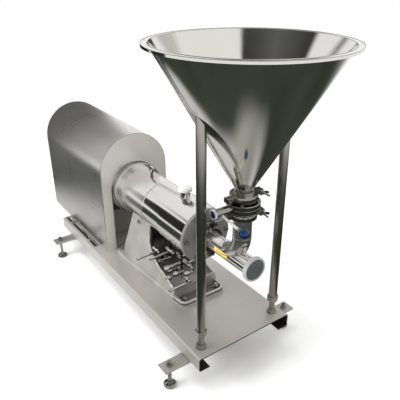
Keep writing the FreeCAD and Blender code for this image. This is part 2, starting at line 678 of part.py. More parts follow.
def pump_shaft():
    start = f"({PUMP_HUB} + 2)"
    rear = bearing_starts()[0][1]
    front = bearing_starts()[1][1]
    origin = PUMP

    def at(place_x):
        return f"{place_x} - {origin}"
    hub = ROTOR
    points = [(at(start), 0), (at(start), "shaft_end"), (at(rear), "shaft_end"),
              (at(rear), "shaft_radius"), (f"{at(rear)} + bearing_width", "shaft_radius"),
              (f"{at(rear)} + bearing_width", "shaft_collar"), (at(front), "shaft_collar"),
              (at(front), "shaft_radius"), (at(hub), "shaft_radius"), (at(hub), "shaft_nose"),
              (f"{at(hub)} + rotor_web + rotor_step", "shaft_nose"),
              (f"{at(hub)} + rotor_web + rotor_step", "shaft_thread"),
              (f"{at(hub)} + rotor_web + rotor_step + rotor_nut_height + 2", "shaft_thread"),
              (f"{at(hub)} + rotor_web + rotor_step + rotor_nut_height + 2", 0)]
    keep("pump_shaft", turned("pump_shaft_turned", points, "X", origin, 0, AXIS))


def bearings():
    outer = []
    inner = []
    places = [(end, start, "shaft_radius", "bearing_radius", "bearing_width")
              for end, start in bearing_starts()]
    places += [(end, start, "motor_shaft", "motor_bearing_radius", "motor_bearing_width")
               for end, start in motor_bearing_starts()]
    for end, start, shaft, radius, width in places:
        ring = rod(f"bearing_outer_{end}", radius, width, start, 0, AXIS, ALONG_X)
        hole = rod(f"bearing_outer_hole_{end}", f"{radius} - bearing_ring", width, start, 0,
                   AXIS, ALONG_X)
        outer.append(cut(f"bearing_outer_ring_{end}", ring, hole))
        ring = rod(f"bearing_inner_{end}", f"{shaft} + bearing_ring", width, start, 0, AXIS,
                   ALONG_X)
        hole = rod(f"bearing_inner_hole_{end}", shaft, width, start, 0, AXIS, ALONG_X)
        inner.append(cut(f"bearing_inner_ring_{end}", ring, hole))
        room = f"({radius} - {shaft} - 2 * bearing_ring)"
        track = f"({shaft} + bearing_ring + ({room} - running_gap) / 2)"
        for i, cos, sin, angle in around(SIZES["bearing_balls"]):
            inner.append(ball(f"bearing_ball_{end}_{i}", f"({room} - running_gap) / 2",
                              f"{start} + {width} / 2", f"{track} * {cos:.6f}",
                              f"{AXIS} + {track} * {sin:.6f}"))
    keep("bearing_outer_rings", group("bearing_outer_set", outer))
    keep("bearing_inner_rings", group("bearing_inner_set", inner))


def seal_parts():
    wall = f"({CASING} - seal_wall)"
    seat_x = f"({wall} - seal_seat_thick)"
    seat = rod("seal_seat_disc", "seal_seat_radius", "seal_seat_thick", seat_x, 0, AXIS,
               ALONG_X)
    seat_hole = rod("seal_seat_hole", "shaft_radius + 1.5", "seal_seat_thick", seat_x, 0,
                    AXIS, ALONG_X)
    keep("seal_seat", cut("seal_seat_cut", seat, seat_hole))
    ring_x = f"({seat_x} - 0.1 - seal_face_thick)"
    ring = rod("seal_ring_disc", "seal_face_radius", "seal_face_thick", ring_x, 0, AXIS,
               ALONG_X)
    ring_hole = rod("seal_ring_hole", "shaft_radius", "seal_face_thick", ring_x, 0, AXIS,
                    ALONG_X)
    face = cut("seal_ring_cut", ring, ring_hole)
    spring_x = f"({ring_x} - seal_spring_length)"
    helix = doc.addObject("Part::Helix", "seal_spring_path")
    bind(helix, Pitch="(seal_spring_length - 2 * seal_wire) / seal_turns",
         Height="seal_spring_length - 2 * seal_wire", Radius="seal_spring_radius")
    place(helix, 0, 0, 0)
    wire = doc.addObject("Part::Circle", "seal_spring_wire")
    bind(wire, Radius="seal_wire")
    place(wire, "seal_spring_radius", 0, 0, FreeCAD.Rotation(FreeCAD.Vector(1, 0, 0), 90))
    coil = doc.addObject("Part::Sweep", "seal_spring_coil")
    coil.Sections = [wire]
    coil.Spine = (helix, [])
    coil.Solid = True
    coil.Frenet = True
    place(coil, f"{spring_x} + seal_wire", 0, AXIS, ALONG_X)
    collar_x = f"({spring_x} - seal_collar_thick)"
    collar = rod("seal_collar_disc", "seal_face_radius", "seal_collar_thick", collar_x, 0,
                 AXIS, ALONG_X)
    collar_hole = rod("seal_collar_hole", "shaft_radius", "seal_collar_thick", collar_x, 0,
                      AXIS, ALONG_X)
    keep("seal_head", group("seal_head_set", [face, coil, cut("seal_collar", collar,
                                                              collar_hole)]))


def rotor():
    start = ROTOR
    web = rod("rotor_web_disc", "rotor_radius", "rotor_web", start, 0, AXIS, ALONG_X)
    hub = rod("rotor_hub_rod", "rotor_hub", "rotor_web + rotor_step", start, 0, AXIS, ALONG_X)
    rim = rod("rotor_rim", "rotor_radius", "rotor_length", start, 0, AXIS, ALONG_X)
    room = rod("rotor_room", "rotor_radius - rotor_tooth_wall", "rotor_length",
               f"{start} + rotor_web", 0, AXIS, ALONG_X)
    ring = cut("rotor_ring", rim, room)
    solid = fuse("rotor_solid", web, hub, ring)
    tools = [rod("rotor_bore", "shaft_nose", "rotor_web + rotor_step", start, 0, AXIS, ALONG_X)]
    for i, cos, sin, angle in around(SIZES["rotor_teeth"]):
        tool = doc.addObject("Part::Box", f"rotor_slot_{i}")
        bind(tool, Length="rotor_length", Width="rotor_slot", Height="rotor_tooth_wall + 4")
        out = "(rotor_radius - rotor_tooth_wall - 2)"
        place(tool, f"{start} + rotor_web + 6",
              f"{out} * {cos:.6f} - rotor_slot / 2 * {sin:.6f}",
              f"{AXIS} + {out} * {sin:.6f} + rotor_slot / 2 * {cos:.6f}",
              about_x(angle - 90))
        tools.append(tool)
    keep("rotor", cut("rotor_cut", solid, *tools))
    keep("rotor_nut", nut("rotor_nut_hex", "rotor_nut_flats", "rotor_nut_height",
                          "shaft_thread", f"{start} + rotor_web + rotor_step", 0, AXIS, ALONG_X))


def stator():
    start = f"({COVER} - cover_spigot - rotor_length + rotor_web)"
    length = "(rotor_length - rotor_web)"
    inner = "(rotor_radius + rotor_gap)"
    outer = f"({inner} + stator_wall)"
    ring = rod("stator_ring", outer, length, start, 0, AXIS, ALONG_X)
    flange = rod("stator_disc", "stator_flange_radius", "stator_flange",
                 f"{COVER} - cover_spigot - stator_flange", 0, AXIS, ALONG_X)
    tools = [rod("stator_bore_rod", inner, length, start, 0, AXIS, ALONG_X)]
    for i, cos, sin, angle in around(SIZES["stator_slots"], 5):
        tool = doc.addObject("Part::Box", f"stator_slot_{i}")
        bind(tool, Length=f"{length} - stator_flange - 10", Width="stator_slot",
             Height="stator_wall + 4")
        out = f"({inner} - 2)"
        place(tool, f"{start} + 4", f"{out} * {cos:.6f} - stator_slot / 2 * {sin:.6f}",
              f"{AXIS} + {out} * {sin:.6f} + stator_slot / 2 * {cos:.6f}",
              about_x(angle - 90))
        tools.append(tool)
    keep("stator", cut("stator_cut", fuse("stator_solid", ring, flange), *tools))


# pedestal


def pedestal():
    rear = "-foot_rear"
    points = [(rear, "-foot_rear_half"), ("foot_shoulder", "-foot_rear_half"),
              ("foot_front", "-foot_front_half"), ("foot_front", "foot_front_half"),
              ("foot_shoulder", "foot_rear_half"), (rear, "foot_rear_half")]
    foot = padded("pedestal_foot", points, "XY_Plane", "foot_thick", PUMP, 0, PLATE)
    rounded(foot, "foot_corner", is_upright)
    top = SIZES["foot_thick"]

    def top_edge(edge):
        return all(abs(v.Point.z - top) < 0.01 for v in edge.Vertexes)

    rounded(foot, "foot_round", top_edge)
    profile = [("web_rear_low", 0), ("web_rear_low", "foot_thick"),
               ("web_rear_high", "web_top - web_shoulder"), ("web_rear_high", "web_top"),
               ("web_front_high", "web_top"), ("web_front_high", "web_brow"),
               ("web_knee_x", "web_knee"), ("web_toe_x", "web_toe"),
               ("web_step_x", "web_step"), ("web_end", "web_end_height"), ("web_end", 0)]
    side = padded("pedestal_side", profile, "XZ_Plane", "2 * foot_rear_half", PUMP,
                  "foot_rear_half", PLATE)
    slope = [("-web_base_half", 0), ("web_base_half", 0), ("web_top_half", "web_top"),
             ("-web_top_half", "web_top")]
    wedge = padded("pedestal_wedge", slope, "YZ_Plane", "foot_front", PUMP, 0, PLATE)
    walls = common("pedestal_walls", side, wedge)
    roof = "(axis_rise - barrel_radius - web_bridge)"
    lean = "((web_base_half - web_top_half) / web_top)"
    low_half = f"(web_base_half - web_wall - foot_thick * {lean})"
    high_half = f"(web_base_half - web_wall - {roof} * {lean})"
    hollow = [(f"-{low_half}", "foot_thick"), (low_half, "foot_thick"),
              (high_half, roof), (f"-{high_half}", roof)]
    room = padded("pedestal_room", hollow, "YZ_Plane",
                  "web_end - web_end_wall - web_rear_high - web_rear_wall",
                  f"{PUMP} + web_rear_high + web_rear_wall", 0, PLATE)
    barrel = rod("pedestal_barrel", "barrel_radius", "foot_front", PUMP, 0, AXIS, ALONG_X)
    holes = []
    for name, x, y, seat in hold_places():
        holes.append(rod(f"{name}_foot_hole", "hold_radius + 0.5", "foot_thick + 2", x, y,
                         f"{PLATE} - 1"))
    bosses = []
    for side, sign in SIDES:
        bosses.append(side_rod(f"side_boss_{side}", "side_boss_radius", "side_bolt_tip + 20",
                               "side_bolt_face", sign))
        holes.append(side_rod(f"side_hole_{side}", "side_bolt_radius + 0.5", "side_bolt_tip",
                              "side_bolt_face + 2", sign))
    solid = fuse("pedestal_solid", foot, walls, *bosses)
    keep("pedestal", cut("pedestal_cut", solid, room, foot_pan(), barrel, *holes))


def foot_pan():
    """The sunk floor with a rim around it at the front of the casting's foot."""
    half = "(foot_front_half - pan_rim)"
    end = "(foot_front - pan_rim)"
    points = [("web_end", f"-{half}"), (end, f"-{half}"), (end, half), ("web_end", half)]
    pan = padded("foot_pan", points, "XY_Plane", "pan_depth + 1", PUMP, 0,
                 f"{PLATE} + foot_thick - pan_depth")
    middle = (SIZES["web_end"] + SIZES["foot_front"]) / 2

    def front_corner(edge):
        return is_upright(edge) and edge.Vertexes[0].Point.x > middle

    return rounded(pan, "foot_corner - pan_rim", front_corner)


def base_bolts(post_nuts):
    """Studs with nuts at the casting's corners, a screw in each side, and the post nuts."""
    pieces = list(post_nuts)
    for side, sign in SIDES:
        shank = side_rod(f"side_shank_{side}", "side_bolt_radius", "side_bolt_tip",
                         "side_bolt_face + 1", sign)
        low = "side_bolt_face" if sign > 0 else "-side_bolt_face - side_bolt_head"
        head = prism(f"side_head_{side}", "side_bolt_flats", "side_bolt_head",
                     f"{PUMP} + side_bolt_x", low, f"{PLATE} + side_bolt_z", ALONG_Y)
        pieces.append(fuse(f"side_screw_{side}", shank, head))
    for name, x, y, seat in hold_places():
        length = f"hold_depth + {seat} + hold_nut_height + hold_spare"
        pieces.append(rod(f"{name}_stud", "hold_radius", length, x, y,
                          f"{PLATE} - hold_depth"))
        pieces.append(nut(f"{name}_nut", "hold_nut_flats", "hold_nut_height", "hold_radius",
                          x, y, f"{PLATE} + {seat}"))
        pieces.append(nut(f"{name}_nut_low", "hold_nut_flats", "hold_nut_height",
                          "hold_radius", x, y, f"{PLATE} - base_sheet - hold_nut_height"))
    keep("base_bolts", group("base_bolt_set", pieces))


# inlet, valve and hopper


def inlet_elbow():
    run = f"({HOPPER} - elbow_bend - {ELBOW_X})"
    corner = f"({AXIS} + elbow_bend)"
    rise = f"({ELBOW_FACE} - {corner})"

    def run_solid(name, radius, extra):
        level = rod(f"{name}_level", radius, f"{run} + {extra}", f"{ELBOW_X} - {extra}", 0,
                    AXIS, ALONG_X)
        bend = doc.addObject("Part::Torus", f"{name}_bend")
        bind(bend, Radius1="elbow_bend", Radius2=radius)
        bend.Angle1 = -180
        bend.Angle2 = 180
        bend.Angle3 = 90
        place(bend, f"{HOPPER} - elbow_bend", 0, corner,
              FreeCAD.Rotation(FreeCAD.Vector(1, 0, 0), -90))
        upright = rod(f"{name}_upright", radius, f"{rise} + {extra}", HOPPER, 0, corner)
        return [level, bend, upright]
    skin = run_solid("elbow_skin", "tube_radius", "0")
    skin.append(cone("elbow_ferrule_low", "ferrule_radius", "tube_radius",
                     "ferrule_root - ferrule_edge", f"{ELBOW_X} + ferrule_edge", 0, AXIS,
                     ALONG_X))
    skin.append(rod("elbow_ferrule_low_rim", "ferrule_radius", "ferrule_edge", ELBOW_X, 0,
                    AXIS, ALONG_X))
    skin.append(cone("elbow_ferrule_top", "tube_radius", "ferrule_radius",
                     "ferrule_root - ferrule_edge", HOPPER, 0, f"{ELBOW_FACE} - ferrule_root"))
    skin.append(rod("elbow_ferrule_top_rim", "ferrule_radius", "ferrule_edge", HOPPER, 0,
                    f"{ELBOW_FACE} - ferrule_edge"))
    bore = run_solid("elbow_bore", BORE, "1")
    pipe_bore = rod("elbow_pipe_bore", BORE, "elbow_bend",
                    f"{HOPPER} - elbow_bend + pipe_saddle", 0, AXIS, ALONG_X)
    hollow = cut("elbow_hollow", fuse("elbow_solid", *skin), *bore)
    keep("inlet_elbow", cut("elbow_cut", hollow, pipe_bore))


def liquid_inlet_pipe():
    start = f"({HOPPER} - elbow_bend + pipe_saddle)"
    length = "(elbow_bend - pipe_saddle + inlet_reach - cap_wall)"
    thick = "(tube_radius - saddle_wall)"
    points = [(0, thick), (0, "tube_radius"), (f"{length} - ferrule_root", "tube_radius"),
              (f"{length} - ferrule_edge", "ferrule_radius"), (length, "ferrule_radius"),
              (length, BORE), ("saddle_length", BORE), ("saddle_length", thick)]
    pipe = turned("liquid_pipe_turned", points, "X", start, 0, AXIS)
    corner = f"({AXIS} + elbow_bend)"
    bend = doc.addObject("Part::Torus", "liquid_pipe_bend")
    bind(bend, Radius1="elbow_bend", Radius2="tube_radius")
    bend.Angle1 = -180
    bend.Angle2 = 180
    bend.Angle3 = 90
    place(bend, f"{HOPPER} - elbow_bend", 0, corner,
          FreeCAD.Rotation(FreeCAD.Vector(1, 0, 0), -90))
    upright = rod("liquid_pipe_upright", "tube_radius", "elbow_bend", HOPPER, 0, corner)
    keep("liquid_inlet_pipe", cut("liquid_pipe_cut", pipe, bend, upright))


def inlet_cap():
    start = f"({HOPPER} + inlet_reach - cap_length)"
    outer = rod("inlet_cap_disc", "cap_radius", "cap_length", start, 0, AXIS, ALONG_X)
    room = rod("inlet_cap_room", "ferrule_radius + cap_gap", "cap_length - cap_wall", start,
               0, AXIS, ALONG_X)
    keep("inlet_cap", cut("inlet_cap_cut", outer, room))


def discharge_cap():
    low = f"({OUTLET_TOP} + cap_wall - outlet_cap_length)"
    outer = rod("outlet_cap_disc", "outlet_cap", "outlet_cap_length", OUTLET_X, 0, low)
    room = rod("outlet_cap_room", "outlet_ferrule + cap_gap", "outlet_cap_length - cap_wall",
               OUTLET_X, 0, low)
    keep("discharge_cap", cut("outlet_cap_cut", outer, room))


def clamp_frame(name, x, z, turn, along_x):
    """Where a clamp sits: its centre, its own axis and its turn about that axis."""
    return {"name": name, "x": x, "z": z, "turn": turn, "along_x": along_x}


CLAMPS = (clamp_frame("upper", HOPPER, f"({VALVE_TOP} + gasket_thick / 2)",
                      "upper_clamp_turn", False),
          clamp_frame("lower", HOPPER, f"({VALVE_LOW} - gasket_thick / 2)",
                      "lower_clamp_turn", False),
          clamp_frame("pump", f"({JOINT} + gasket_thick / 2)", AXIS, "pump_clamp_turn", True))


def on_clamp(frame, thing):
    """Carry a piece that was made about the origin to its clamp."""
    carrier = doc.addObject("Part::Compound", f"{thing.Name}_set")
    carrier.Links = [thing]
    if frame["along_x"]:
        quarter = FreeCAD.Rotation(FreeCAD.Vector(0, 1, 0), 90)
        turn = quarter.multiply(about_z(SIZES[frame["turn"]]))
    else:
        turn = about_z(SIZES[frame["turn"]])
    return place(carrier, frame["x"], 0, frame["z"], turn)


def clamp_halves(frame):
    """Two half rings with a groove for the ferrules, and lugs at hinge and bolt."""
    name = frame["name"]
    half = "clamp_height / 2"
    edge = "(gasket_thick / 2 + ferrule_edge + clamp_slack)"
    root = "(gasket_thick / 2 + ferrule_root + clamp_slack)"
    throat = "(tube_radius + 1)"
    groove = "(ferrule_radius + clamp_slack + 0.2)"
    points = [(throat, f"-{half}"), ("clamp_radius", f"-{half}"), ("clamp_radius", half),
              (throat, half), (throat, root), (groove, edge), (groove, f"-{edge}"),
              (throat, f"-{root}")]
    ring = turned(f"clamp_ring_{name}", points, "Z")
    lug = block(f"clamp_lug_{name}", "2 * lug_thick + clamp_split",
                "lug_reach - clamp_radius + 8 + lug_width / 2", "lug_height",
                "-lug_thick - clamp_split / 2",
                "(lug_reach + clamp_radius - 8 + lug_width / 2) / 2", "-lug_height / 2")
    ear = block(f"clamp_ear_{name}", "2 * lug_thick + clamp_split",
                "lug_reach - clamp_radius + 8 + pin_radius + 4", "lug_height",
                "-lug_thick - clamp_split / 2",
                "-(lug_reach + clamp_radius - 8 + pin_radius + 4) / 2", "-lug_height / 2")
    split = block(f"clamp_split_{name}", "clamp_split", "4 * lug_reach", "2 * clamp_height",
                  "-clamp_split / 2", 0, "-clamp_height")
    slot = block(f"clamp_slot_{name}", "2 * lug_thick + clamp_split + 2",
                 "lug_width", "2 * (bolt_radius + 0.5)", "-lug_thick - clamp_split / 2 - 1",
                 "lug_reach + 3", "-bolt_radius - 0.5")
    pin_hole = rod(f"clamp_pin_hole_{name}", "pin_radius", "2 * lug_thick + clamp_split + 2",
                   "-lug_thick - clamp_split / 2 - 1", "-lug_reach", 0, ALONG_X)
    solid = fuse(f"clamp_solid_{name}", ring, lug, ear)
    return on_clamp(frame, cut(f"clamp_{name}", solid, split, slot, pin_hole))


def clamp_bolt(frame):
    """The hinge pin and the swing bolt with its head."""
    name = frame["name"]
    pin = rod(f"clamp_pin_{name}", "pin_radius", "2 * lug_thick + clamp_split + 6",
              "-lug_thick - clamp_split / 2 - 3", "-lug_reach", 0, ALONG_X)
    shank = rod(f"clamp_shank_{name}", "bolt_radius", "bolt_length + bolt_tail",
                "-lug_thick - clamp_split / 2 - bolt_tail", "lug_reach", 0, ALONG_X)
    head = rod(f"clamp_head_{name}", "bolt_radius + 4", "bolt_tail - 2",
               "-lug_thick - clamp_split / 2 - bolt_tail", "lug_reach", 0, ALONG_X)
    return [on_clamp(frame, pin), on_clamp(frame, fuse(f"clamp_bolt_{name}", shank, head))]


def wing_nut(frame):
    name = frame["name"]
    start = "lug_thick + clamp_split / 2 + 0.3"
    hub = cone(f"wing_hub_{name}", "wing_hub_radius", "wing_hub_radius - 2",
               "wing_hub_length", start, "lug_reach", 0, ALONG_X)
    wings = []
    for side, sign in SIDES:
        points = [("2", f"{sign} * (wing_hub_radius - 3)"),
                  ("wing_hub_length - 4", f"{sign} * (wing_hub_radius - 3)"),
                  ("wing_hub_length + 7", f"{sign} * (wing_span / 2 - 5)"),
                  ("wing_hub_length + 4", f"{sign} * wing_span / 2"),
                  ("wing_hub_length - 7", f"{sign} * (wing_span / 2 - 2)")]
        wings.append(padded(f"wing_{side}_{name}", points, "XY_Plane", "wing_thick", start,
                            "lug_reach", "-wing_thick / 2"))
    hole = rod(f"wing_hole_{name}", "bolt_radius + 0.1", "wing_hub_length + 2",
               f"{start} - 1", "lug_reach", 0, ALONG_X)
    solid = fuse(f"wing_solid_{name}", hub, *wings)
    keep(f"wing_nut_{name}", on_clamp(frame, cut(f"wing_nut_cut_{name}", solid, hole)))


def clamps():
    halves = [clamp_halves(frame) for frame in CLAMPS]
    keep("clamp_halves", group("clamp_half_set", halves))
    bolts = []
    for frame in CLAMPS:
        bolts.extend(clamp_bolt(frame))
        wing_nut(frame)
    keep("clamp_bolts", group("clamp_bolt_set", bolts))


def gaskets():
    pieces = []
    for name, x, z, turn in (("upper", HOPPER, VALVE_TOP, UP),
                             ("lower", HOPPER, ELBOW_FACE, UP),
                             ("pump", JOINT, AXIS, ALONG_X)):
        disc = rod(f"gasket_disc_{name}", "ferrule_radius - 2", "gasket_thick", x, 0, z, turn)
        hole = rod(f"gasket_hole_{name}", BORE, "gasket_thick", x, 0, z, turn)
        pieces.append(cut(f"gasket_{name}", disc, hole))
    keep("gaskets", group("gasket_set", pieces))


def valve_body():
    """Two liner flanges bolted about the disc, with a clamp ferrule at each end."""
    half = "(valve_length / 2)"
    flange = "(valve_flange / 2)"
    seat_room = f"({BORE} + valve_seat_wall)"
    pieces = []
    for name, sign in (("upper", "1"), ("lower", "-1")):
        points = [(BORE, f"{sign} * valve_seat_length / 2"), (BORE, f"{sign} * {half}"),
                  ("ferrule_radius", f"{sign} * {half}"),
                  ("ferrule_radius", f"{sign} * ({half} - ferrule_edge)"),
                  ("tube_radius", f"{sign} * ({half} - ferrule_root)"),
                  ("tube_radius", f"{sign} * ({half} - clamp_height / 2 - 1)"),
                  ("valve_waist", f"{sign} * {flange}"),
                  ("valve_radius - 2", f"{sign} * {flange}"),
                  ("valve_radius", f"{sign} * ({flange} - 2)"), ("valve_radius", 0),
                  (seat_room, 0), (seat_room, f"{sign} * valve_seat_length / 2")]
        pieces.append(turned(f"valve_{name}", points, "Z", HOPPER, 0, VALVE))
    tools = [rod("valve_stem_hole", "stem_radius + 0.1", "2 * hub_start", HOPPER,
                 "-2 * hub_start", VALVE, ALONG_Y)]
    for i, cos, sin, angle in around(4, 45):
        tools.append(rod(f"valve_bolt_hole_{i}", "valve_bolt_radius + 0.3",
                         "valve_flange + 2", f"{HOPPER} + valve_bolt_circle * {cos:.6f}",
                         f"valve_bolt_circle * {sin:.6f}",
                         f"{VALVE} - valve_flange / 2 - 1"))
    boss = rod("valve_boss", "stem_boss_radius", "stem_boss_length + 8", HOPPER,
               "-valve_radius - stem_boss_length", VALVE, ALONG_Y)
    upper = fuse("valve_upper_boss", pieces[0],
                 common("valve_boss_top", boss, block("valve_boss_half", "80", "200", "40",
                                                      f"{HOPPER} - 40", "-60", VALVE)))
    body = group("valve_pair", [cut("valve_upper_cut", upper, *tools),
                                cut("valve_lower_cut", pieces[1], *tools)])
    keep("valve_body", body)


def valve_bolts_and_seat():
    bolts = []
    for i, cos, sin, angle in around(4, 45):
        x = f"{HOPPER} + valve_bolt_circle * {cos:.6f}"
        y = f"valve_bolt_circle * {sin:.6f}"
        low = f"({VALVE} - valve_flange / 2)"
        shank = rod(f"valve_bolt_shank_{i}", "valve_bolt_radius",
                    "valve_flange + valve_bolt_head + 1", x, y, f"{low} - valve_bolt_head - 1")
        head = prism(f"valve_bolt_head_{i}", "valve_bolt_flats", "valve_bolt_head", x, y,
                     f"{low} + valve_flange")
        bolts.append(fuse(f"valve_bolt_{i}", shank, head))
        bolts.append(nut(f"valve_bolt_nut_{i}", "valve_bolt_flats", "valve_bolt_head",
                         "valve_bolt_radius", x, y, f"{low} - valve_bolt_head"))
    keep("valve_bolts", group("valve_bolt_set", bolts))
    ring = rod("valve_seat_ring", f"{BORE} + valve_seat_wall", "valve_seat_length", HOPPER,
               0, f"{VALVE} - valve_seat_length / 2")
    hole = rod("valve_seat_hole", BORE, "valve_seat_length", HOPPER, 0,
               f"{VALVE} - valve_seat_length / 2")
    stem = rod("valve_seat_stem", "stem_radius + 0.1", "2 * tube_radius", HOPPER,
               "-2 * tube_radius", VALVE, ALONG_Y)
    keep("valve_seat", cut("valve_seat_cut", ring, hole, stem))


def valve_disc():
    disc = rod("valve_disc_plate", f"{BORE} - disc_gap", "disc_thick", HOPPER, 0,
               f"{VALVE} - disc_thick / 2")
    boss = rod("valve_disc_boss", "stem_radius + 4", "40", HOPPER, "-20", VALVE, ALONG_Y)
    stem = rod("valve_disc_stem", "stem_radius", f"hub_start + {BORE} - 12", HOPPER,
               "-hub_start", VALVE, ALONG_Y)
    keep("valve_disc", fuse("valve_disc_solid", disc, boss, stem))


def valve_lever():
    tip = "-hub_start - hub_length"
    hub = rod("lever_hub", "hub_radius", "hub_length", HOPPER, tip, VALVE, ALONG_Y)
    droop = FreeCAD.Rotation(FreeCAD.Vector(0, 1, 0), 90 + SIZES["lever_droop"])
    bar = rod("lever_bar", "lever_radius", "lever_length - knob_radius / 2", HOPPER,
              "-lever_side", VALVE, droop)
    keep("valve_lever", fuse("lever_solid", hub, bar))
    cap = rod("lever_cap_disc", "hub_radius + 1", "hub_cap_thick", HOPPER,
              f"{tip} - hub_cap_thick", VALVE, ALONG_Y)
    cos = math.cos(math.radians(SIZES["lever_droop"]))
    sin = math.sin(math.radians(SIZES["lever_droop"]))
    sphere = ball("knob_ball", "knob_radius", f"{HOPPER} + lever_length * {cos:.6f}",
                  "-lever_side", f"{VALVE} - lever_length * {sin:.6f}")
    bore = rod("knob_bore", "lever_radius", "lever_length - knob_radius / 2", HOPPER,
               "-lever_side", VALVE, droop)
    keep("lever_knob", group("lever_plastics", [cut("knob_cut", sphere, bore), cap]))


def hopper():
    low = f"({NECK_FACE} - {NECK_TOP})"
    slope = "((hopper_mouth - tube_radius) / (hopper_top - hopper_neck_top))"
    rise = "(hopper_top - hopper_neck_top)"
    points = [(BORE, low), ("ferrule_radius", low),
              ("ferrule_radius", f"{low} + ferrule_edge"),
              ("tube_radius", f"{low} + ferrule_root"), ("tube_radius", 0),
              ("hopper_mouth", rise), (f"{RIM} - rim_thick", rise),
              (f"{RIM} - rim_thick", f"{rise} + rim_thick - rim_lip"),
              (RIM, f"{rise} + rim_thick - rim_lip"),
              (RIM, f"{rise} + rim_thick"),
              ("hopper_mouth - hopper_wall", f"{rise} + rim_thick"),
              (BORE, f"(hopper_wall - tube_wall) / {slope}")]
    keep("hopper", turned("hopper_turned", points, "Z", HOPPER, 0, NECK_TOP))


def hopper_posts():
    slope = "((hopper_mouth - tube_radius) / (hopper_top - hopper_neck_top))"
    start = f"({PLATE} + sleeve_low + sleeve_collar)"
    reach = f"(({POST_SIDE} + post_radius + post_clear - tube_radius) / {slope})"
    top = f"({NECK_TOP} + {reach})"
    posts = []
    shell = cone("post_trim", "tube_radius", "hopper_mouth",
                 "hopper_top - hopper_neck_top", HOPPER, 0, NECK_TOP)
    for side, sign in SIDES:
        y = f"{sign} * {POST_SIDE}"
        outer = rod(f"post_{side}", "post_radius", f"{top} - {start}", HOPPER, y, start)
        inner = rod(f"post_bore_{side}", "post_radius - post_wall", f"{top} - {start}",
                    HOPPER, y, start)
        posts.append(cut(f"post_tube_{side}", outer, inner, shell))
    keep("hopper_posts", group("post_pair", posts))
    sleeves = []
    nuts = []
    for side, sign in SIDES:
        y = f"{sign} * {POST_SIDE}"
        collar = prism(f"sleeve_hex_{side}", "sleeve_flats", "sleeve_collar", HOPPER, y,
                       f"{PLATE} + sleeve_low")
        plug = rod(f"sleeve_plug_{side}", "post_radius - post_wall", "sleeve_plug + 1",
                   HOPPER, y, f"{PLATE} + sleeve_low + sleeve_collar - 1")
        stud = rod(f"post_stud_{side}", "stud_post_radius",
                   "sleeve_low + base_sheet + stud_reach + 2", HOPPER, y,
                   f"{PLATE} - base_sheet - stud_reach")
        sleeves.append(fuse(f"post_sleeve_{side}", collar, plug, stud))
        washer = rod(f"post_washer_{side}", "post_washer", "post_washer_thick", HOPPER, y,
                     PLATE)
        hole = rod(f"post_washer_hole_{side}", "stud_post_radius", "post_washer_thick",
                   HOPPER, y, PLATE)
        nuts.append(cut(f"post_washer_cut_{side}", washer, hole))
        nuts.append(nut(f"post_nut_{side}", "post_nut_flats", "post_nut_height",
                        "stud_post_radius", HOPPER, y, f"{PLATE} + post_washer_thick"))
        nuts.append(nut(f"post_nut_low_{side}", "post_nut_flats", "post_nut_height",
                        "stud_post_radius", HOPPER, y,
                        f"{PLATE} - base_sheet - post_nut_height"))
    keep("post_studs", group("post_stud_set", sleeves))
    return nuts


# flush and drain pipes

# each small valve: name, place of its stem and handle, body behind the stem, body length
FLUSH = tuple((name, f"({PUMP} + {name}_x)", f"-{name}_side", f"({PLATE} + {name}_z)",
               f"{name}_back", f"{name}_body") for name in ("seal_out", "seal_in", "drain"))

# runs of the manifold under the pump: name, tube radius and corners, which are counted from
# the pump's start, its middle plane and the plate
MANIFOLD = (("header", "flush_pipe", ((332, -16, 142), (532, -16, 142))),
            ("sample", "flush_wide", ((452, -16, 142), (452, -132, 142))),
            ("second", "flush_small", ((452, -16, 142), (452, -16, 120), (452, -86, 120))),
            ("bridge", "flush_small", ((452, -50, 120), (492, -50, 120), (492, -77, 120))),
            ("end", "flush_small", ((532, -16, 142), (532, -16, 130), (532, -41, 130))),
            ("top", "flush_small", ((492, -20, 157), (492, 16, 157))),
            ("link", "flush_small", ((492, -16, 142), (492, -16, 157))),
            ("cross", "flush_small", ((412, -16, 145), (412, 23, 145))),
            ("port", "flush_pipe", ((392, -16, 142), (392, -16, 158), (392, -24, 158))),
            ("low", "flush_small", ((332, -16, 142), (332, -16, 106), (332, -82, 106))),
            ("lowest", "flush_small", ((332, -42, 106), (292, -42, 106), (292, -42, 65),
                                       (292, -81, 65))),
            ("drop", "flush_small", ((452, -61, 120), (452, -61, 81), (452, -93, 81))))


def pipe_run(name, radius, corners):
    """Straight tubes between corners that differ in one coordinate, with round elbows."""
    pieces = []
    for i, (start, end) in enumerate(zip(corners, corners[1:])):
        lengths = [abs(b - a) for a, b in zip(start, end)]
        way = lengths.index(max(lengths))
        x, y, z = min(start, end)
        pieces.append(rod(f"{name}_tube_{i}", radius, lengths[way], f"{PUMP} + {x}", y,
                          f"{PLATE} + {z}", (ALONG_X, ALONG_Y, UP)[way]))
    for i, (x, y, z) in enumerate(corners[1:-1]):
        pieces.append(ball(f"{name}_elbow_{i}", radius, f"{PUMP} + {x}", y, f"{PLATE} + {z}"))
    return pieces


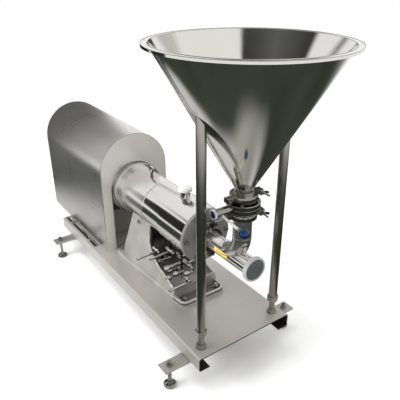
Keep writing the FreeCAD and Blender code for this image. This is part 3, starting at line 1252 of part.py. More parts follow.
def manifold():
    """The branched pipe under the seal housing, fed by two risers."""
    pieces = []
    for name, radius, corners in MANIFOLD:
        pieces.extend(pipe_run(f"manifold_{name}", radius, corners))
    x, y, z = MANIFOLD[5][2][1]
    pieces.append(rod("manifold_riser_front", "flush_small", f"axis_rise - {z}",
                      f"{PUMP} + {x}", y, f"{PLATE} + {z}"))
    pieces.append(ball("manifold_riser_elbow", "flush_small", f"{PUMP} + {x}", y,
                       f"{PLATE} + {z}"))
    x, y, z = MANIFOLD[0][2][0]
    pieces.append(rod("manifold_riser_rear", "flush_pipe", f"axis_rise - {z}",
                      f"{PUMP} + {x}", y, f"{PLATE} + {z}"))
    x, y, z = MANIFOLD[8][2][2]
    pieces.append(rod("manifold_flange", "flange_face", "flange_edge", f"{PUMP} + {x}",
                      f"{y} - flange_edge", f"{PLATE} + {z}", ALONG_Y))
    x, y, z = MANIFOLD[1][2][1]
    pieces.append(prism("manifold_union", "union_flats", "union_length", f"{PUMP} + {x}", y,
                        f"{PLATE} + {z}", ALONG_Y))
    return fuse("manifold_solid", *pieces)


def flush_pipes():
    """A riser from each small valve to the pump, and the manifold between them."""
    barrel = rod("flush_barrel", "barrel_radius", "housing_length + seal_length", PUMP, 0,
                 AXIS, ALONG_X)
    belly = rod("flush_belly", "casing_radius", "casing_length", CASING, 0, AXIS, ALONG_X)
    pipes = [cut("manifold_cut", manifold(), barrel, belly)]
    for name, x, y, z, back, length in FLUSH:
        start = f"({x} - {back} - flush_run)"
        middle = f"({z} + flush_lift)"
        level = rod(f"{name}_level", "flush_pipe", "flush_run", start, y, middle, ALONG_X)
        bend = ball(f"{name}_bend", "flush_pipe", start, y, middle)
        riser = rod(f"{name}_riser", "flush_pipe", f"{AXIS} - {middle}", start, y, middle)
        pipes.append(cut(f"{name}_pipe", fuse(f"{name}_run", level, bend, riser), barrel,
                         belly))
    keep("flush_pipes", group("flush_pipe_set", pipes))


def flush_valves():
    """Slim ball valves along X; each stem hangs below its body."""
    bodies = []
    for name, x, y, z, back, length in FLUSH:
        start = f"({x} - {back})"
        middle = f"({z} + flush_lift)"
        core = rod(f"{name}_core", "flush_body", length, start, y, middle, ALONG_X)
        ends = [prism(f"{name}_hex_{end}", "flush_hex", "flush_end", place_x, y, middle,
                      ALONG_X)
                for end, place_x in (("rear", start),
                                     ("front", f"{start} + {length} - flush_end"))]
        neck = rod(f"{name}_neck", "flush_stem + 2.5", "flush_lift - flush_neck_gap", x, y,
                   f"{z} + flush_neck_gap")
        tail = rod(f"{name}_tail", "flush_pipe", "flush_tail", f"{start} + {length}", y,
                   middle, ALONG_X)
        bore = rod(f"{name}_stem_bore", "flush_stem + 0.1", "flush_lift + 2", x, y, z)
        bodies.append(cut(f"{name}_body_cut", fuse(f"{name}_shell", core, neck, tail, *ends),
                          bore))
    keep("flush_valves", group("flush_valve_set", bodies))


def flush_handles():
    tilt = FreeCAD.Rotation(FreeCAD.Vector(1, 0, 0), 90 + SIZES["handle_tilt"])
    for name, x, y, z, back, length in FLUSH:
        stem = rod(f"{name}_stem", "flush_stem", "flush_lift + 1", x, y, z)
        grip = rod(f"{name}_grip", "flush_handle", "flush_handle_length", x,
                   f"{y} + handle_overhang", z, tilt)
        keep(f"{name}_handle", fuse(f"{name}_handle_solid", stem, grip))


# hood


def arch(name, half, length, x, low=PLATE):
    """A round-topped solid of the hood's outline."""
    box = block(f"{name}_box", length, f"2 * ({half})", f"{HOOD_ARCH} - ({low})", x, 0, low)
    top = rod(f"{name}_top", half, length, x, 0, HOOD_ARCH, ALONG_X)
    return fuse(name, box, top)


def hood():
    inner = f"{HOOD_HALF} - hood_sheet"
    outside = arch("hood_outside", HOOD_HALF, "hood_length", HOOD_REAR)
    inside = arch("hood_inside", inner, "hood_length + 2", f"{HOOD_REAR} - 1",
                  f"({PLATE} - 1)")
    shell = cut("hood_bent", outside, inside)
    tabs = []
    screws = []
    holes = []
    for side, sign in SIDES:
        for end, x in enumerate(bridge_places()):
            y = f"{sign} * {SLOT_SIDE}"
            tabs.append(block(f"hood_tab_{side}_{end}", "hood_tab_width",
                              "hood_tab", "hood_tab_thick", f"{x} - hood_tab_width / 2",
                              f"{sign} * ({HOOD_HALF} + hood_tab / 2 - hood_sheet / 2)",
                              PLATE))
            holes.append(rod(f"hood_tab_hole_{side}_{end}", "hood_screw_radius",
                             "hood_tab_thick + 2", x, y, f"{PLATE} - 1"))
            shank = rod(f"hood_screw_shank_{side}_{end}", "hood_screw_radius",
                        "hood_tab_thick + base_sheet + bolt_spare", x, y,
                        f"{PLATE} - base_sheet - bolt_spare")
            head = cone(f"hood_screw_head_{side}_{end}", "hood_screw_head",
                        "hood_screw_head - 2", "hood_screw_rise", x, y,
                        f"{PLATE} + hood_tab_thick")
            screws.append(fuse(f"hood_screw_{side}_{end}", shank, head))
    keep("hood_shell", cut("hood_shell_cut", fuse("hood_with_tabs", shell, *tabs), *holes))
    keep("hood_screws", group("hood_screw_set", screws))
    plate = arch("hood_front_solid", inner, "hood_sheet", f"{HOOD} - hood_sheet")
    gap = block("hood_opening_box", "3 * hood_sheet", "2 * hood_opening",
                f"{AXIS} - {PLATE} + 1", f"{HOOD} - 2 * hood_sheet", 0, f"{PLATE} - 1")
    ring = rod("hood_opening_round", "hood_opening", "3 * hood_sheet",
               f"{HOOD} - 2 * hood_sheet", 0, AXIS, ALONG_X)
    front = cut("hood_front_cut", plate, gap, ring)
    back = arch("hood_rear_solid", inner, "hood_sheet", HOOD_REAR)
    vents = []
    for i in range(SIZES["vent_rows"]):
        for side, sign in SIDES:
            vents.append(block(f"vent_{side}_{i}", "3 * hood_sheet", "vent_width",
                               "vent_height", f"{HOOD_REAR} - hood_sheet",
                               f"{sign} * (vent_width / 2 + vent_gap)",
                               f"{PLATE} + vent_low + {i} * vent_pitch"))
    keep("hood_end_plates", group("hood_end_pair", [front, cut("hood_rear_cut", back,
                                                                *vents)]))


# motor


def motor():
    start = f"({MOTOR} - motor_length)"
    shell = rod("motor_shell", "motor_radius", "motor_length", start, 0, AXIS, ALONG_X)
    fins = []
    for i, cos, sin, angle in around(SIZES["motor_fins"], 360 / SIZES["motor_fins"] / 2):
        fin = doc.addObject("Part::Box", f"motor_fin_{i}")
        bind(fin, Length="motor_length - 2 * motor_fin_inset", Width="motor_fin_thick",
             Height="motor_fin + 4")
        out = "(motor_radius - 4)"
        place(fin, f"{start} + motor_fin_inset",
              f"{out} * {cos:.6f} - motor_fin_thick / 2 * {sin:.6f}",
              f"{AXIS} + {out} * {sin:.6f} + motor_fin_thick / 2 * {cos:.6f}",
              about_x(angle - 90))
        fins.append(fin)
    feet = []
    for end in ("stool_front", "stool_rear"):
        x = f"{MOTOR} - {end} - motor_foot_width / 2"
        feet.append(block(f"motor_foot_{end}", "motor_foot_width", "2 * motor_foot_half",
                          "motor_foot", x, 0, MOTOR_FOOT))
        for side, sign in SIDES:
            feet.append(block(f"motor_foot_web_{end}_{side}", "motor_foot_rib",
                              "motor_foot_rib", "motor_foot_rise",
                              f"{x}", f"{sign} * motor_rib_side", MOTOR_FOOT))
    bore = rod("motor_shell_bore", "motor_radius - motor_wall", "motor_length + 2",
               f"{start} - 1", 0, AXIS, ALONG_X)
    holes = [rod(f"{name}_frame_hole", "hold_radius + 0.5", "motor_foot + 2", x, y,
                 f"{MOTOR_FOOT} - 1") for name, x, y in motor_foot_places()]
    keep("motor_frame", cut("motor_frame_cut", fuse("motor_solid", shell, *fins, *feet),
                            bore, *holes))
    core = rod("motor_core", "motor_radius - motor_wall", "stator_core",
               f"{MOTOR} - motor_length / 2 - stator_core / 2", 0, AXIS, ALONG_X)
    ends = rod("motor_windings", "motor_radius - motor_wall - winding_step",
               "stator_core + 2 * winding_reach",
               f"{MOTOR} - motor_length / 2 - stator_core / 2 - winding_reach", 0, AXIS,
               ALONG_X)
    hole = rod("motor_core_bore", "stator_bore", "stator_core + 2 * winding_reach + 2",
               f"{MOTOR} - motor_length / 2 - stator_core / 2 - winding_reach - 1", 0, AXIS,
               ALONG_X)
    keep("motor_stator", cut("motor_stator_cut", fuse("motor_stator_solid", core, ends),
                             hole))


# rings of air holes in the cowl: how many pitches out, and how many holes
COWL_RINGS = ((1, 8), (2, 14), (3, 20))


def motor_shields():
    seat = "motor_bearing_width + 4"
    front = [(0, "motor_bearing_radius"), (0, "motor_radius"),
             ("motor_neck - 14", "motor_neck_radius"), ("motor_neck", "motor_neck_radius"),
             ("motor_neck", "flange_radius"), ("motor_neck + motor_flange", "flange_radius"),
             ("motor_neck + motor_flange", "coupling_bore - 6"),
             ("motor_neck + 6", "coupling_bore - 6"), ("motor_neck + 6", "motor_shaft + 3"),
             (seat, "motor_shaft + 3"), (seat, "motor_bearing_radius")]
    rear = [("-motor_shield", "motor_shaft + 2"), ("-motor_shield", "motor_radius - 30"),
            ("-cowl_seat", "motor_radius - 12"), ("-cowl_seat", "cowl_radius - cowl_wall"),
            (0, "cowl_radius - cowl_wall"), (0, "motor_bearing_radius"),
            ("-motor_bearing_width", "motor_bearing_radius"),
            ("-motor_bearing_width", "motor_shaft + 2")]
    holes = [rod(f"shield_hole_{i}", "lantern_bolt + 0.5", "motor_flange + 2",
                 f"{LANTERN} - motor_flange - 1", y, z, ALONG_X)
             for i, y, z in lantern_places()]
    keep("motor_end_shields", group("motor_shield_pair", [
        cut("motor_front_cut", turned("motor_front_shield", front, "X", MOTOR, 0, AXIS),
            *holes),
        turned("motor_rear_shield", rear, "X", MOTOR_END, 0, AXIS)]))
    cowl_x = f"({MOTOR_END} - cowl_length)"
    outer = rod("cowl_outer", "cowl_radius", "cowl_length", cowl_x, 0, AXIS, ALONG_X)
    inner = rod("cowl_inner", "cowl_radius - cowl_wall", "cowl_length - cowl_wall",
                f"{cowl_x} + cowl_wall", 0, AXIS, ALONG_X)
    holes = []
    for ring, count in COWL_RINGS:
        for i, cos, sin, angle in around(count):
            holes.append(rod(f"cowl_hole_{ring}_{i}", "cowl_hole", "3 * cowl_wall",
                             f"{cowl_x} - cowl_wall", f"{ring} * cowl_pitch * {cos:.6f}",
                             f"{AXIS} + {ring} * cowl_pitch * {sin:.6f}", ALONG_X))
    keep("fan_cowl", cut("cowl_cut", outer, inner, *holes))


def motor_rotor():
    tail = f"({MOTOR_END} - motor_shield - fan_gap - fan_blade - 6)"
    length = f"({SPIDER} - {tail})"
    shaft = rod("motor_shaft_rod", "motor_shaft", length, tail, 0, AXIS, ALONG_X)
    core = rod("motor_rotor_core", "stator_bore - air_gap", "stator_core",
               f"{MOTOR} - motor_length / 2 - stator_core / 2", 0, AXIS, ALONG_X)
    keep("motor_rotor", fuse("motor_rotor_solid", shaft, core))
    fan_x = f"({MOTOR_END} - motor_shield - fan_gap - fan_blade)"
    disc = rod("fan_disc", "fan_radius", "fan_sheet", f"{fan_x} + fan_blade - fan_sheet", 0,
               AXIS, ALONG_X)
    hub = rod("fan_hub", "fan_hub_radius", "fan_blade", fan_x, 0, AXIS, ALONG_X)
    out = "(fan_hub_radius - 2)"
    blades = []
    for i, cos, sin, angle in around(SIZES["fan_blades"]):
        blade = doc.addObject("Part::Box", f"fan_blade_{i}")
        bind(blade, Length="fan_blade", Width="fan_sheet", Height=f"fan_radius - {out}")
        place(blade, fan_x, f"{out} * {cos:.6f} - fan_sheet / 2 * {sin:.6f}",
              f"{AXIS} + {out} * {sin:.6f} + fan_sheet / 2 * {cos:.6f}", about_x(angle - 90))
        blades.append(blade)
    bore = rod("fan_bore", "motor_shaft", "fan_blade + 2", f"{fan_x} - 1", 0, AXIS, ALONG_X)
    keep("motor_fan", cut("fan_cut", fuse("fan_solid", disc, hub, *blades), bore))


def motor_stool():
    stands = []
    height = f"({MOTOR_FOOT} - {PLATE})"
    for end in ("stool_front", "stool_rear"):
        x = f"({MOTOR} - {end} - stool_depth / 2)"
        top = block(f"{end}_top", "stool_depth", "2 * stool_half", "stool_plate", x, 0,
                    f"{MOTOR_FOOT} - stool_plate")
        low = block(f"{end}_low", "stool_depth", "2 * stool_half", "stool_plate", x, 0,
                    PLATE)
        web = block(f"{end}_web", "stool_plate", "2 * stool_half - 2 * stool_web_inset", height,
                    f"{MOTOR} - {end} - stool_plate / 2", 0, PLATE)
        holes = []
        for name, hole_x, y in stool_places():
            if name.startswith(end):
                holes.append(rod(f"{name}_stool_hole", "hold_radius + 0.5",
                                 "stool_plate + 2", hole_x, y, f"{PLATE} - 1"))
        for name, hole_x, y in motor_foot_places():
            if name.startswith(end):
                holes.append(rod(f"{name}_stool_top_hole", "hold_radius + 0.5",
                                 "stool_plate + 2", hole_x, y,
                                 f"{MOTOR_FOOT} - stool_plate - 1"))
        stands.append(cut(f"{end}_cut", fuse(f"{end}_stand", top, low, web), *holes))
    keep("motor_stool", group("motor_stool_set", stands))


def motor_bolts():
    """Screws from the motor's flange into the lantern, and through its feet."""
    pieces = []
    for i, y, z in lantern_places():
        shank = rod(f"lantern_shank_{i}", "lantern_bolt", "motor_flange + flange_thick - 5",
                    f"{LANTERN} - motor_flange", y, z, ALONG_X)
        head = prism(f"lantern_head_{i}", "lantern_bolt_flats", "lantern_bolt_head",
                     f"{LANTERN} - motor_flange - lantern_bolt_head", y, z, ALONG_X)
        pieces.append(fuse(f"lantern_screw_{i}", shank, head))
    for name, x, y in stool_places():
        shank = rod(f"{name}_shank", "hold_radius",
                    "stool_plate + base_sheet + hold_nut_height + bolt_spare", x, y,
                    f"{PLATE} - base_sheet - hold_nut_height - bolt_spare")
        head = prism(f"{name}_head", "hold_nut_flats", "hold_head", x, y,
                     f"{PLATE} + stool_plate")
        pieces.append(fuse(f"{name}_bolt", shank, head))
        pieces.append(nut(f"{name}_stool_nut", "hold_nut_flats", "hold_nut_height",
                          "hold_radius", x, y, f"{PLATE} - base_sheet - hold_nut_height"))
    for name, x, y in motor_foot_places():
        shank = rod(f"{name}_foot_shank", "hold_radius",
                    "motor_foot + stool_plate + hold_nut_height + bolt_spare", x, y,
                    f"{MOTOR_FOOT} - stool_plate - hold_nut_height - bolt_spare")
        head = prism(f"{name}_foot_head", "hold_nut_flats", "hold_head", x, y,
                     f"{MOTOR_FOOT} + motor_foot")
        pieces.append(fuse(f"{name}_foot_bolt", shank, head))
        pieces.append(nut(f"{name}_foot_nut", "hold_nut_flats", "hold_nut_height",
                          "hold_radius", x, y,
                          f"{MOTOR_FOOT} - stool_plate - hold_nut_height"))
    keep("motor_bolts", group("motor_bolt_set", pieces))


def coupling():
    """Two jawed hubs; the star between them carries the turn from one to the other."""
    hubs = []
    for name, body_x, shaft, start in (("motor", MOTOR_HUB, "motor_shaft", 0),
                                       ("pump", PUMP_HUB, "shaft_end", 60)):
        disc = rod(f"hub_{name}_disc", "coupling_radius", "coupling_body", body_x, 0, AXIS,
                   ALONG_X)
        bore = rod(f"hub_{name}_bore", shaft, "coupling_body", body_x, 0, AXIS, ALONG_X)
        jaws = []
        for i, cos, sin, angle in around(SIZES["jaws"], start - SIZES["jaw_angle"] / 2):
            turn = ALONG_X.multiply(about_z(angle))
            sector = rod(f"hub_{name}_jaw_{i}", "coupling_radius", "coupling_jaw", SPIDER, 0,
                         AXIS, turn)
            bind(sector, Angle="jaw_angle")
            core = rod(f"hub_{name}_core_{i}", "jaw_inner", "coupling_jaw", SPIDER, 0, AXIS,
                       ALONG_X)
            jaws.append(cut(f"hub_{name}_jaw_cut_{i}", sector, core))
        hubs.append(fuse(f"hub_{name}", cut(f"hub_{name}_body", disc, bore), *jaws))
    keep("coupling_hubs", group("coupling_hub_pair", hubs))
    length = "coupling_jaw - 2 * spider_gap"
    x = f"({SPIDER} + spider_gap)"
    ring = rod("spider_ring", "jaw_inner - spider_gap", length, x, 0, AXIS, ALONG_X)
    arms = []
    for i, cos, sin, angle in around(2 * SIZES["jaws"]):
        arm = doc.addObject("Part::Box", f"spider_arm_{i}")
        bind(arm, Length=length, Width="spider_arm",
             Height="coupling_radius - spider_root - 2")
        across = "spider_arm / 2"
        place(arm, x, f"spider_root * {cos:.6f} - {across} * {sin:.6f}",
              f"{AXIS} + spider_root * {sin:.6f} + {across} * {cos:.6f}",
              about_x(angle - 90))
        arms.append(arm)
    bore = rod("spider_bore", "spider_bore", length, x, 0, AXIS, ALONG_X)
    keep("coupling_spider", cut("spider_cut", fuse("spider_solid", ring, *arms), bore))


def check_and_write():
    doc.recompute()
    os.makedirs("parts", exist_ok=True)
    faults = []
    for thing in doc.Objects:
        if "Invalid" in thing.State or "Error" in thing.State:
            faults.append(f"{thing.Name}: {thing.State}")
    for label, thing in nodes.items():
        shape = thing.Shape
        if shape.isNull() or not shape.isValid() or not shape.Solids:
            faults.append(f"{label}: no valid shape")
    if faults:
        raise RuntimeError("; ".join(faults))
    for label, thing in nodes.items():
        thing.Shape.exportStep(f"parts/{label}.step")
    print(len(nodes), "sub-parts written")


fill_sheet()
base_frame()
foot_bars()
foot_bar_fasteners()
levelling_feet()
bearing_housing()
lifting_eye()
seal_housing()
pump_casing()
casing_cover()
cover_nuts()
pump_shaft()
bearings()
seal_parts()
rotor()
stator()
pedestal()
inlet_elbow()
liquid_inlet_pipe()
inlet_cap()
discharge_cap()
clamps()
gaskets()
valve_body()
valve_bolts_and_seat()
valve_disc()
valve_lever()
hopper()
base_bolts(hopper_posts())
flush_pipes()
flush_valves()
flush_handles()
hood()
motor()
motor_shields()
motor_rotor()
motor_stool()
motor_bolts()
coupling()
check_and_write()
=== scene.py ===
import json
import math

import bmesh
import bpy
from mathutils import Matrix, Vector


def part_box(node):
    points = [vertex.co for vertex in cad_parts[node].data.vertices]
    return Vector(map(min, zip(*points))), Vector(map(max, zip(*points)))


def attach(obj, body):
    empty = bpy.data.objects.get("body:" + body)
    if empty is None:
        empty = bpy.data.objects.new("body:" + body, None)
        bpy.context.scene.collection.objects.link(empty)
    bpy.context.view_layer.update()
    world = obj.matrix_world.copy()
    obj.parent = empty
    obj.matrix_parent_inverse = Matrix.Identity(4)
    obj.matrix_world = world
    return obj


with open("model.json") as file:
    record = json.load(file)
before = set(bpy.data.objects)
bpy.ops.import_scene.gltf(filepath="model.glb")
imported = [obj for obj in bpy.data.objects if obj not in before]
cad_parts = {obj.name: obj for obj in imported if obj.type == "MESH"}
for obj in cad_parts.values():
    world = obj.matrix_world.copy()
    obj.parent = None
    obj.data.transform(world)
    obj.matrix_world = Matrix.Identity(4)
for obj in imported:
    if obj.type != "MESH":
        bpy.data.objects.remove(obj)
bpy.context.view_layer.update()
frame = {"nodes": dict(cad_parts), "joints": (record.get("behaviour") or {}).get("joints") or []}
nodes = frame["nodes"]
origins = {joint["name"]: joint["pos_m"] for joint in frame["joints"] if "pos_m" in joint}

# Places from the frame, in metres
AXIS_Z = origins["drive_spin"][2]
HOPPER_X, _, VALVE_Z = origins["valve_turn"]
BASE_LOW, BASE_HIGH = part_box("base_frame")
PLATE_Z = BASE_HIGH.z
HOPPER_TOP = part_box("hopper")[1].z
HOOD_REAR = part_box("hood_shell")[0].x
HOOD_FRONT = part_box("hood_shell")[1].x
OUTLET_LOW, OUTLET_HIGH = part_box("discharge_cap")
OUTLET_X = (OUTLET_LOW.x + OUTLET_HIGH.x) / 2
INLET_CAP_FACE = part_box("inlet_cap")[1].x
HUB_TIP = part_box("lever_knob")[0].y

# Sizes and places inside those boxes, as the CAD has them, in metres and degrees
TUBE_RADIUS = 0.0381
ELBOW_BEND = 0.114
BEND_X = HOPPER_X - ELBOW_BEND
NECK_TOP = 0.868
TUBE_WELDS_X = (0.4655, BEND_X, 0.723)
TUBE_WELDS_Z = (AXIS_Z + ELBOW_BEND, 0.7405, 0.8405, NECK_TOP)
HOPPER_MOUTH = 0.345
RIM_BEADS = (HOPPER_MOUTH + 0.0195, HOPPER_MOUTH - 0.0015)
HOOD_HALF = 0.197
HOOD_SPRING = 0.636
HOOD_OPENING = 0.140
SLOT_Y = 0.216
SLOT_REAR = -0.776
SLOT_FRONT = -0.334
SLOT_SPANS = ((-0.771, -0.697), (-0.668, -0.442), (-0.413, -0.339))
RIBS_IN_SLOT = (-0.0062, -0.0021, 0.0021, 0.0062)
RIBS_BESIDE_SLOT = (-0.0112, 0.0108, 0.0140)
GRILLE_Z = 0.1665
WEB_LEAN = 0.14
POST_Y = 0.2005
POST_THREAD = (0.1963, 0.2468)
FOOT_THREADS = {"thread": (0.027, 0.0905), "thread_top": (0.1232, 0.1322)}
LEVER_Y = -0.120
LEVER_DROOP = 8
HANDLE_TILT = 3
HANDLE_OVERHANG = 0.006
HANDLE_TIP = 0.1082


# Shader building

# Places of the colour sockets on the mix node
MIX_FACTOR = 0
MIX_A = 6
MIX_B = 7
MIX_RESULT = 2
WHITE = (1, 1, 1, 1)


class Socket:
    """A node's output that takes part in Python arithmetic."""

    def __init__(self, shader, link):
        self.shader = shader
        self.link = link

    def math(self, operation, *others):
        inputs = dict(enumerate((self, *others)))
        return self.shader.node("ShaderNodeMath", {"operation": operation}, inputs)

    def __add__(self, other):
        return self.math("ADD", other)

    __radd__ = __add__

    def __mul__(self, other):
        return self.math("MULTIPLY", other)

    def __sub__(self, other):
        return self.math("SUBTRACT", other)

    def __rsub__(self, other):
        return (self * -1) + other

    def over(self, low, high):
        """0 below low, 1 above high, and smooth between."""
        settings = {"interpolation_type": "SMOOTHSTEP"}
        inputs = {"Value": self, "From Min": low, "From Max": high}
        return self.shader.node("ShaderNodeMapRange", settings, inputs)


class Shader:
    """One material or world, and the nodes that are added to it."""

    def __init__(self, owner):
        owner.use_nodes = True
        self.owner = owner
        self.tree = owner.node_tree
        self.tree.nodes.clear()

    def node(self, kind, settings=None, inputs=None, output=0):
        made = self.tree.nodes.new(kind)
        for key, value in (settings or {}).items():
            if key == "stops":
                stops = made.color_ramp.elements
                stops.remove(stops[1])
                stops[0].position, stops[0].color = value[0]
                for place, tint in value[1:]:
                    stops.new(place).color = tint
            else:
                setattr(made, key, value)
        for key, value in (inputs or {}).items():
            if isinstance(value, Socket):
                self.tree.links.new(value.link, made.inputs[key])
            else:
                made.inputs[key].default_value = value
        return Socket(self, made.outputs[output])

    def place(self, stretch=(1, 1, 1)):
        """The point on the object, in metres, stretched so that noise runs along a way."""
        point = self.node("ShaderNodeTexCoord", output="Object")
        return self.node("ShaderNodeVectorMath", {"operation": "MULTIPLY"},
                         {0: point, 1: stretch})

    def where(self):
        """The point on the object, in metres, as three sockets."""
        point = self.node("ShaderNodeTexCoord", output="Object")
        return [self.node("ShaderNodeSeparateXYZ", None, {0: point}, letter)
                for letter in "XYZ"]

    def turned_place(self, stretch):
        """Distance along the pump's axis and from it, so that noise runs round the axis."""
        point = self.node("ShaderNodeTexCoord", output="Object")
        shifted = self.node("ShaderNodeVectorMath", {"operation": "SUBTRACT"},
                            {0: point, 1: (0, 0, AXIS_Z)})
        flat = self.node("ShaderNodeVectorMath", {"operation": "MULTIPLY"},
                         {0: shifted, 1: (0, 1, 1)})
        radius = self.node("ShaderNodeVectorMath", {"operation": "LENGTH"}, {0: flat}, "Value")
        along = self.node("ShaderNodeSeparateXYZ", None, {0: shifted}, "X")
        return self.node("ShaderNodeCombineXYZ", None,
                         {0: along * stretch[0], 1: radius * stretch[1]})

    def noise(self, scale, detail=2, stretch=(1, 1, 1), roughness=0.5, turned=False):
        place = self.turned_place(stretch) if turned else self.place(stretch)
        inputs = {"Vector": place, "Scale": scale, "Detail": detail, "Roughness": roughness}
        return self.node("ShaderNodeTexNoise", None, inputs, "Fac")

    def blend(self, amount, first, second):
        """A colour between two colours."""
        return self.node("ShaderNodeMix", {"data_type": "RGBA"},
                         {MIX_FACTOR: amount, MIX_A: first, MIX_B: second}, MIX_RESULT)

    def bump(self, height, distance):
        inputs = {"Height": height, "Distance": distance, "Strength": 1.0}
        return self.node("ShaderNodeBump", None, inputs)

    def surface(self, **inputs):
        named = {key.replace("_", " "): value for key, value in inputs.items()}
        return self.node("ShaderNodeBsdfPrincipled", None, named)

    def finish(self, surface, kind="ShaderNodeOutputMaterial"):
        self.tree.links.new(surface.link, self.tree.nodes.new(kind).inputs["Surface"])
        return self.owner


def colour(red, green, blue):
    """A colour that is given as the eye reads it, 0 to 255."""
    def linear(value):
        value = value / 255
        return value / 12.92 if value <= 0.04045 else ((value + 0.055) / 1.055) ** 2.4
    return (linear(red), linear(green), linear(blue), 1)


def new_material(name):
    return Shader(bpy.data.materials.new(name))


def shade(base, amount):
    return tuple(min(1, part * amount) for part in base[:3]) + (1,)


# Finishes

# Ways that a grain can run: noise per metre on each axis, or along and from the pump's axis
ALONG_X = (5, 420, 420)
ALONG_Y = (420, 5, 420)
UP_DOWN = (420, 420, 5)
ROUND_AXIS = (900, 900, 0)
MIRROR = (222, 221, 217)

# Where each painted shade of the casting and the base, the dark of the base's cut ends and the
# base's painted sheen start and are full, in metres
HOLLOW_SIDE = (0.120, 0.126)
HOLLOW_FLOOR = (0.030, 0.11)
HOLLOW_REAR = (-0.112, -0.106)
PAN_REAR = (0.333, 0.337)
PAN_FLOOR = (0.008, 0.010)
PAN_RIM = (0.018, 0.023)
SHEET_SHEEN = (-0.35, 0.65)
SHEET_UNDER = (PLATE_Z - 0.0058, PLATE_Z - 0.0054)
SHEET_SIDE = (BASE_HIGH.y - 0.0048, BASE_HIGH.y - 0.0044)
SHEET_FRONT = (BASE_HIGH.x - 0.0004, BASE_HIGH.x - 0.0002)
SHEET_REAR = (BASE_LOW.x + 0.0002, BASE_LOW.x + 0.0004)


def steel(name, tone, rough, grain, grain_rough, smudge, bump, metal):
    """Stainless steel: grain that runs one way, and soft smudges over it."""
    s = new_material(name)
    base = colour(*tone)
    turned = grain == ROUND_AXIS
    lines = s.noise(1, 3, grain, 0.6, turned)
    fine = s.noise(1, 1, tuple(5 * part for part in grain), 0.5, turned)
    cloud = s.noise(3.5, 4)
    drift = s.noise(11, 3)
    mark = cloud.over(0.35, 0.72)
    tint = s.blend((lines * 0.6 + drift * 0.4), shade(base, 0.93), shade(base, 1.05))
    grade = rough + (lines - 0.5) * grain_rough + mark * smudge
    normal = s.bump(lines * 0.6 + fine * 0.4, bump)
    return s.finish(s.surface(Base_Color=tint, Metallic=metal, Roughness=grade, Normal=normal))


def fitting_steel():
    """The small fittings' polished steel, with painted shade on the undersides."""
    s = new_material("fitting_steel")
    drift = s.noise(90, 3)
    facing = s.node("ShaderNodeNewGeometry", output="Normal")
    lift = s.node("ShaderNodeSeparateXYZ", None, {0: facing}, "Z")
    base = colour(226, 223, 218)
    unshaded_tone = s.blend(drift, shade(base, 0.9), base)
    # Painted shade: dark where the surface faces down, the plain tone where it faces up
    tint = s.blend((lift + drift * 0.2).over(0.1, 0.75), colour(40, 37, 34), unshaded_tone)
    return s.finish(s.surface(Base_Color=tint, Metallic=0.75, Roughness=0.2 + drift * 0.12,
                              Normal=s.bump(drift, 0.00003)))


def cast_steel():
    """A blasted stainless casting: fine pits, slow waves, and painted shade between the webs and
    in the pan.
    """
    s = new_material("cast_steel")
    pits = s.noise(900, 2)
    waves = s.noise(45, 3)
    cloud = s.noise(9, 3)
    base = colour(196, 193, 188)
    tint = s.blend(cloud.over(0.3, 0.7), shade(base, 0.86), shade(base, 1.06))
    x, y, z = s.where()
    height = z - PLATE_Z
    wall = y.math("ABSOLUTE") + height * WEB_LEAN
    hollow = ((1 - wall.over(*HOLLOW_SIDE)) * height.over(*HOLLOW_FLOOR)
              * x.over(*HOLLOW_REAR))
    pan = x.over(*PAN_REAR) * (1 - height.over(*PAN_RIM)) * height.over(*PAN_FLOOR)
    # Painted shade between the side webs and in the foot's pan
    tint = s.blend(hollow.math("MAXIMUM", pan * 0.75), tint, colour(46, 43, 40))
    relief = pits * 0.35 + waves * 0.65
    return s.finish(s.surface(Base_Color=tint, Metallic=0.65,
                              Roughness=0.36 + cloud * 0.12,
                              Normal=s.bump(relief, 0.0006)))


def folded_steel():
    """The base's brushed sheet: paler to the rear as a painted sheen, painted shade under the
    plate, and dark on its cut ends.
    """
    s = new_material("base_sheet")
    lines = s.noise(1, 3, ALONG_X, 0.6)
    cloud = s.noise(3.5, 4)
    base = colour(206, 202, 197)
    x, y, z = s.where()
    # Painted sheen: the sheet is paler toward the rear
    wear_and_sheen = 1 - x.over(*SHEET_SHEEN)
    tint = s.blend(lines * 0.3 + cloud * 0.3 + wear_and_sheen * 0.4, shade(base, 0.62), shade(base, 1.18))
    # Painted shade under the plate and inside its side lips; the cut ends are darkened the same
    # way
    under = (1 - z.over(*SHEET_UNDER)) * (1 - y.math("ABSOLUTE").over(*SHEET_SIDE))
    ends = x.over(*SHEET_FRONT).math("MAXIMUM", 1 - x.over(*SHEET_REAR))
    tint = s.blend(under.math("MAXIMUM", ends), tint, colour(52, 50, 47))
    return s.finish(s.surface(Base_Color=tint, Metallic=0.7,
                              Roughness=0.36 + (lines - 0.5) * 0.1 + cloud * 0.06,
                              Normal=s.bump(lines, 0.00004)))


def painted(name, tone, rough):
    """Sprayed paint with a light orange peel."""
    s = new_material(name)
    base = colour(*tone)
    peel = s.noise(260, 2)
    cloud = s.noise(7, 3)
    tint = s.blend(cloud.over(0.3, 0.75), base, shade(base, 0.82))
    return s.finish(s.surface(Base_Color=tint, Roughness=rough + cloud * 0.1,
                              Normal=s.bump(peel, 0.0001)))


def plastic(name, tone, rough):
    """Moulded plastic or rubber."""
    s = new_material(name)
    base = colour(*tone)
    skin = s.noise(700, 2)
    cloud = s.noise(24, 3)
    tint = s.blend(cloud.over(0.35, 0.7), base, shade(base, 0.88))
    return s.finish(s.surface(Base_Color=tint, Roughness=rough + cloud * 0.08,
                              Normal=s.bump(skin, 0.00003)))


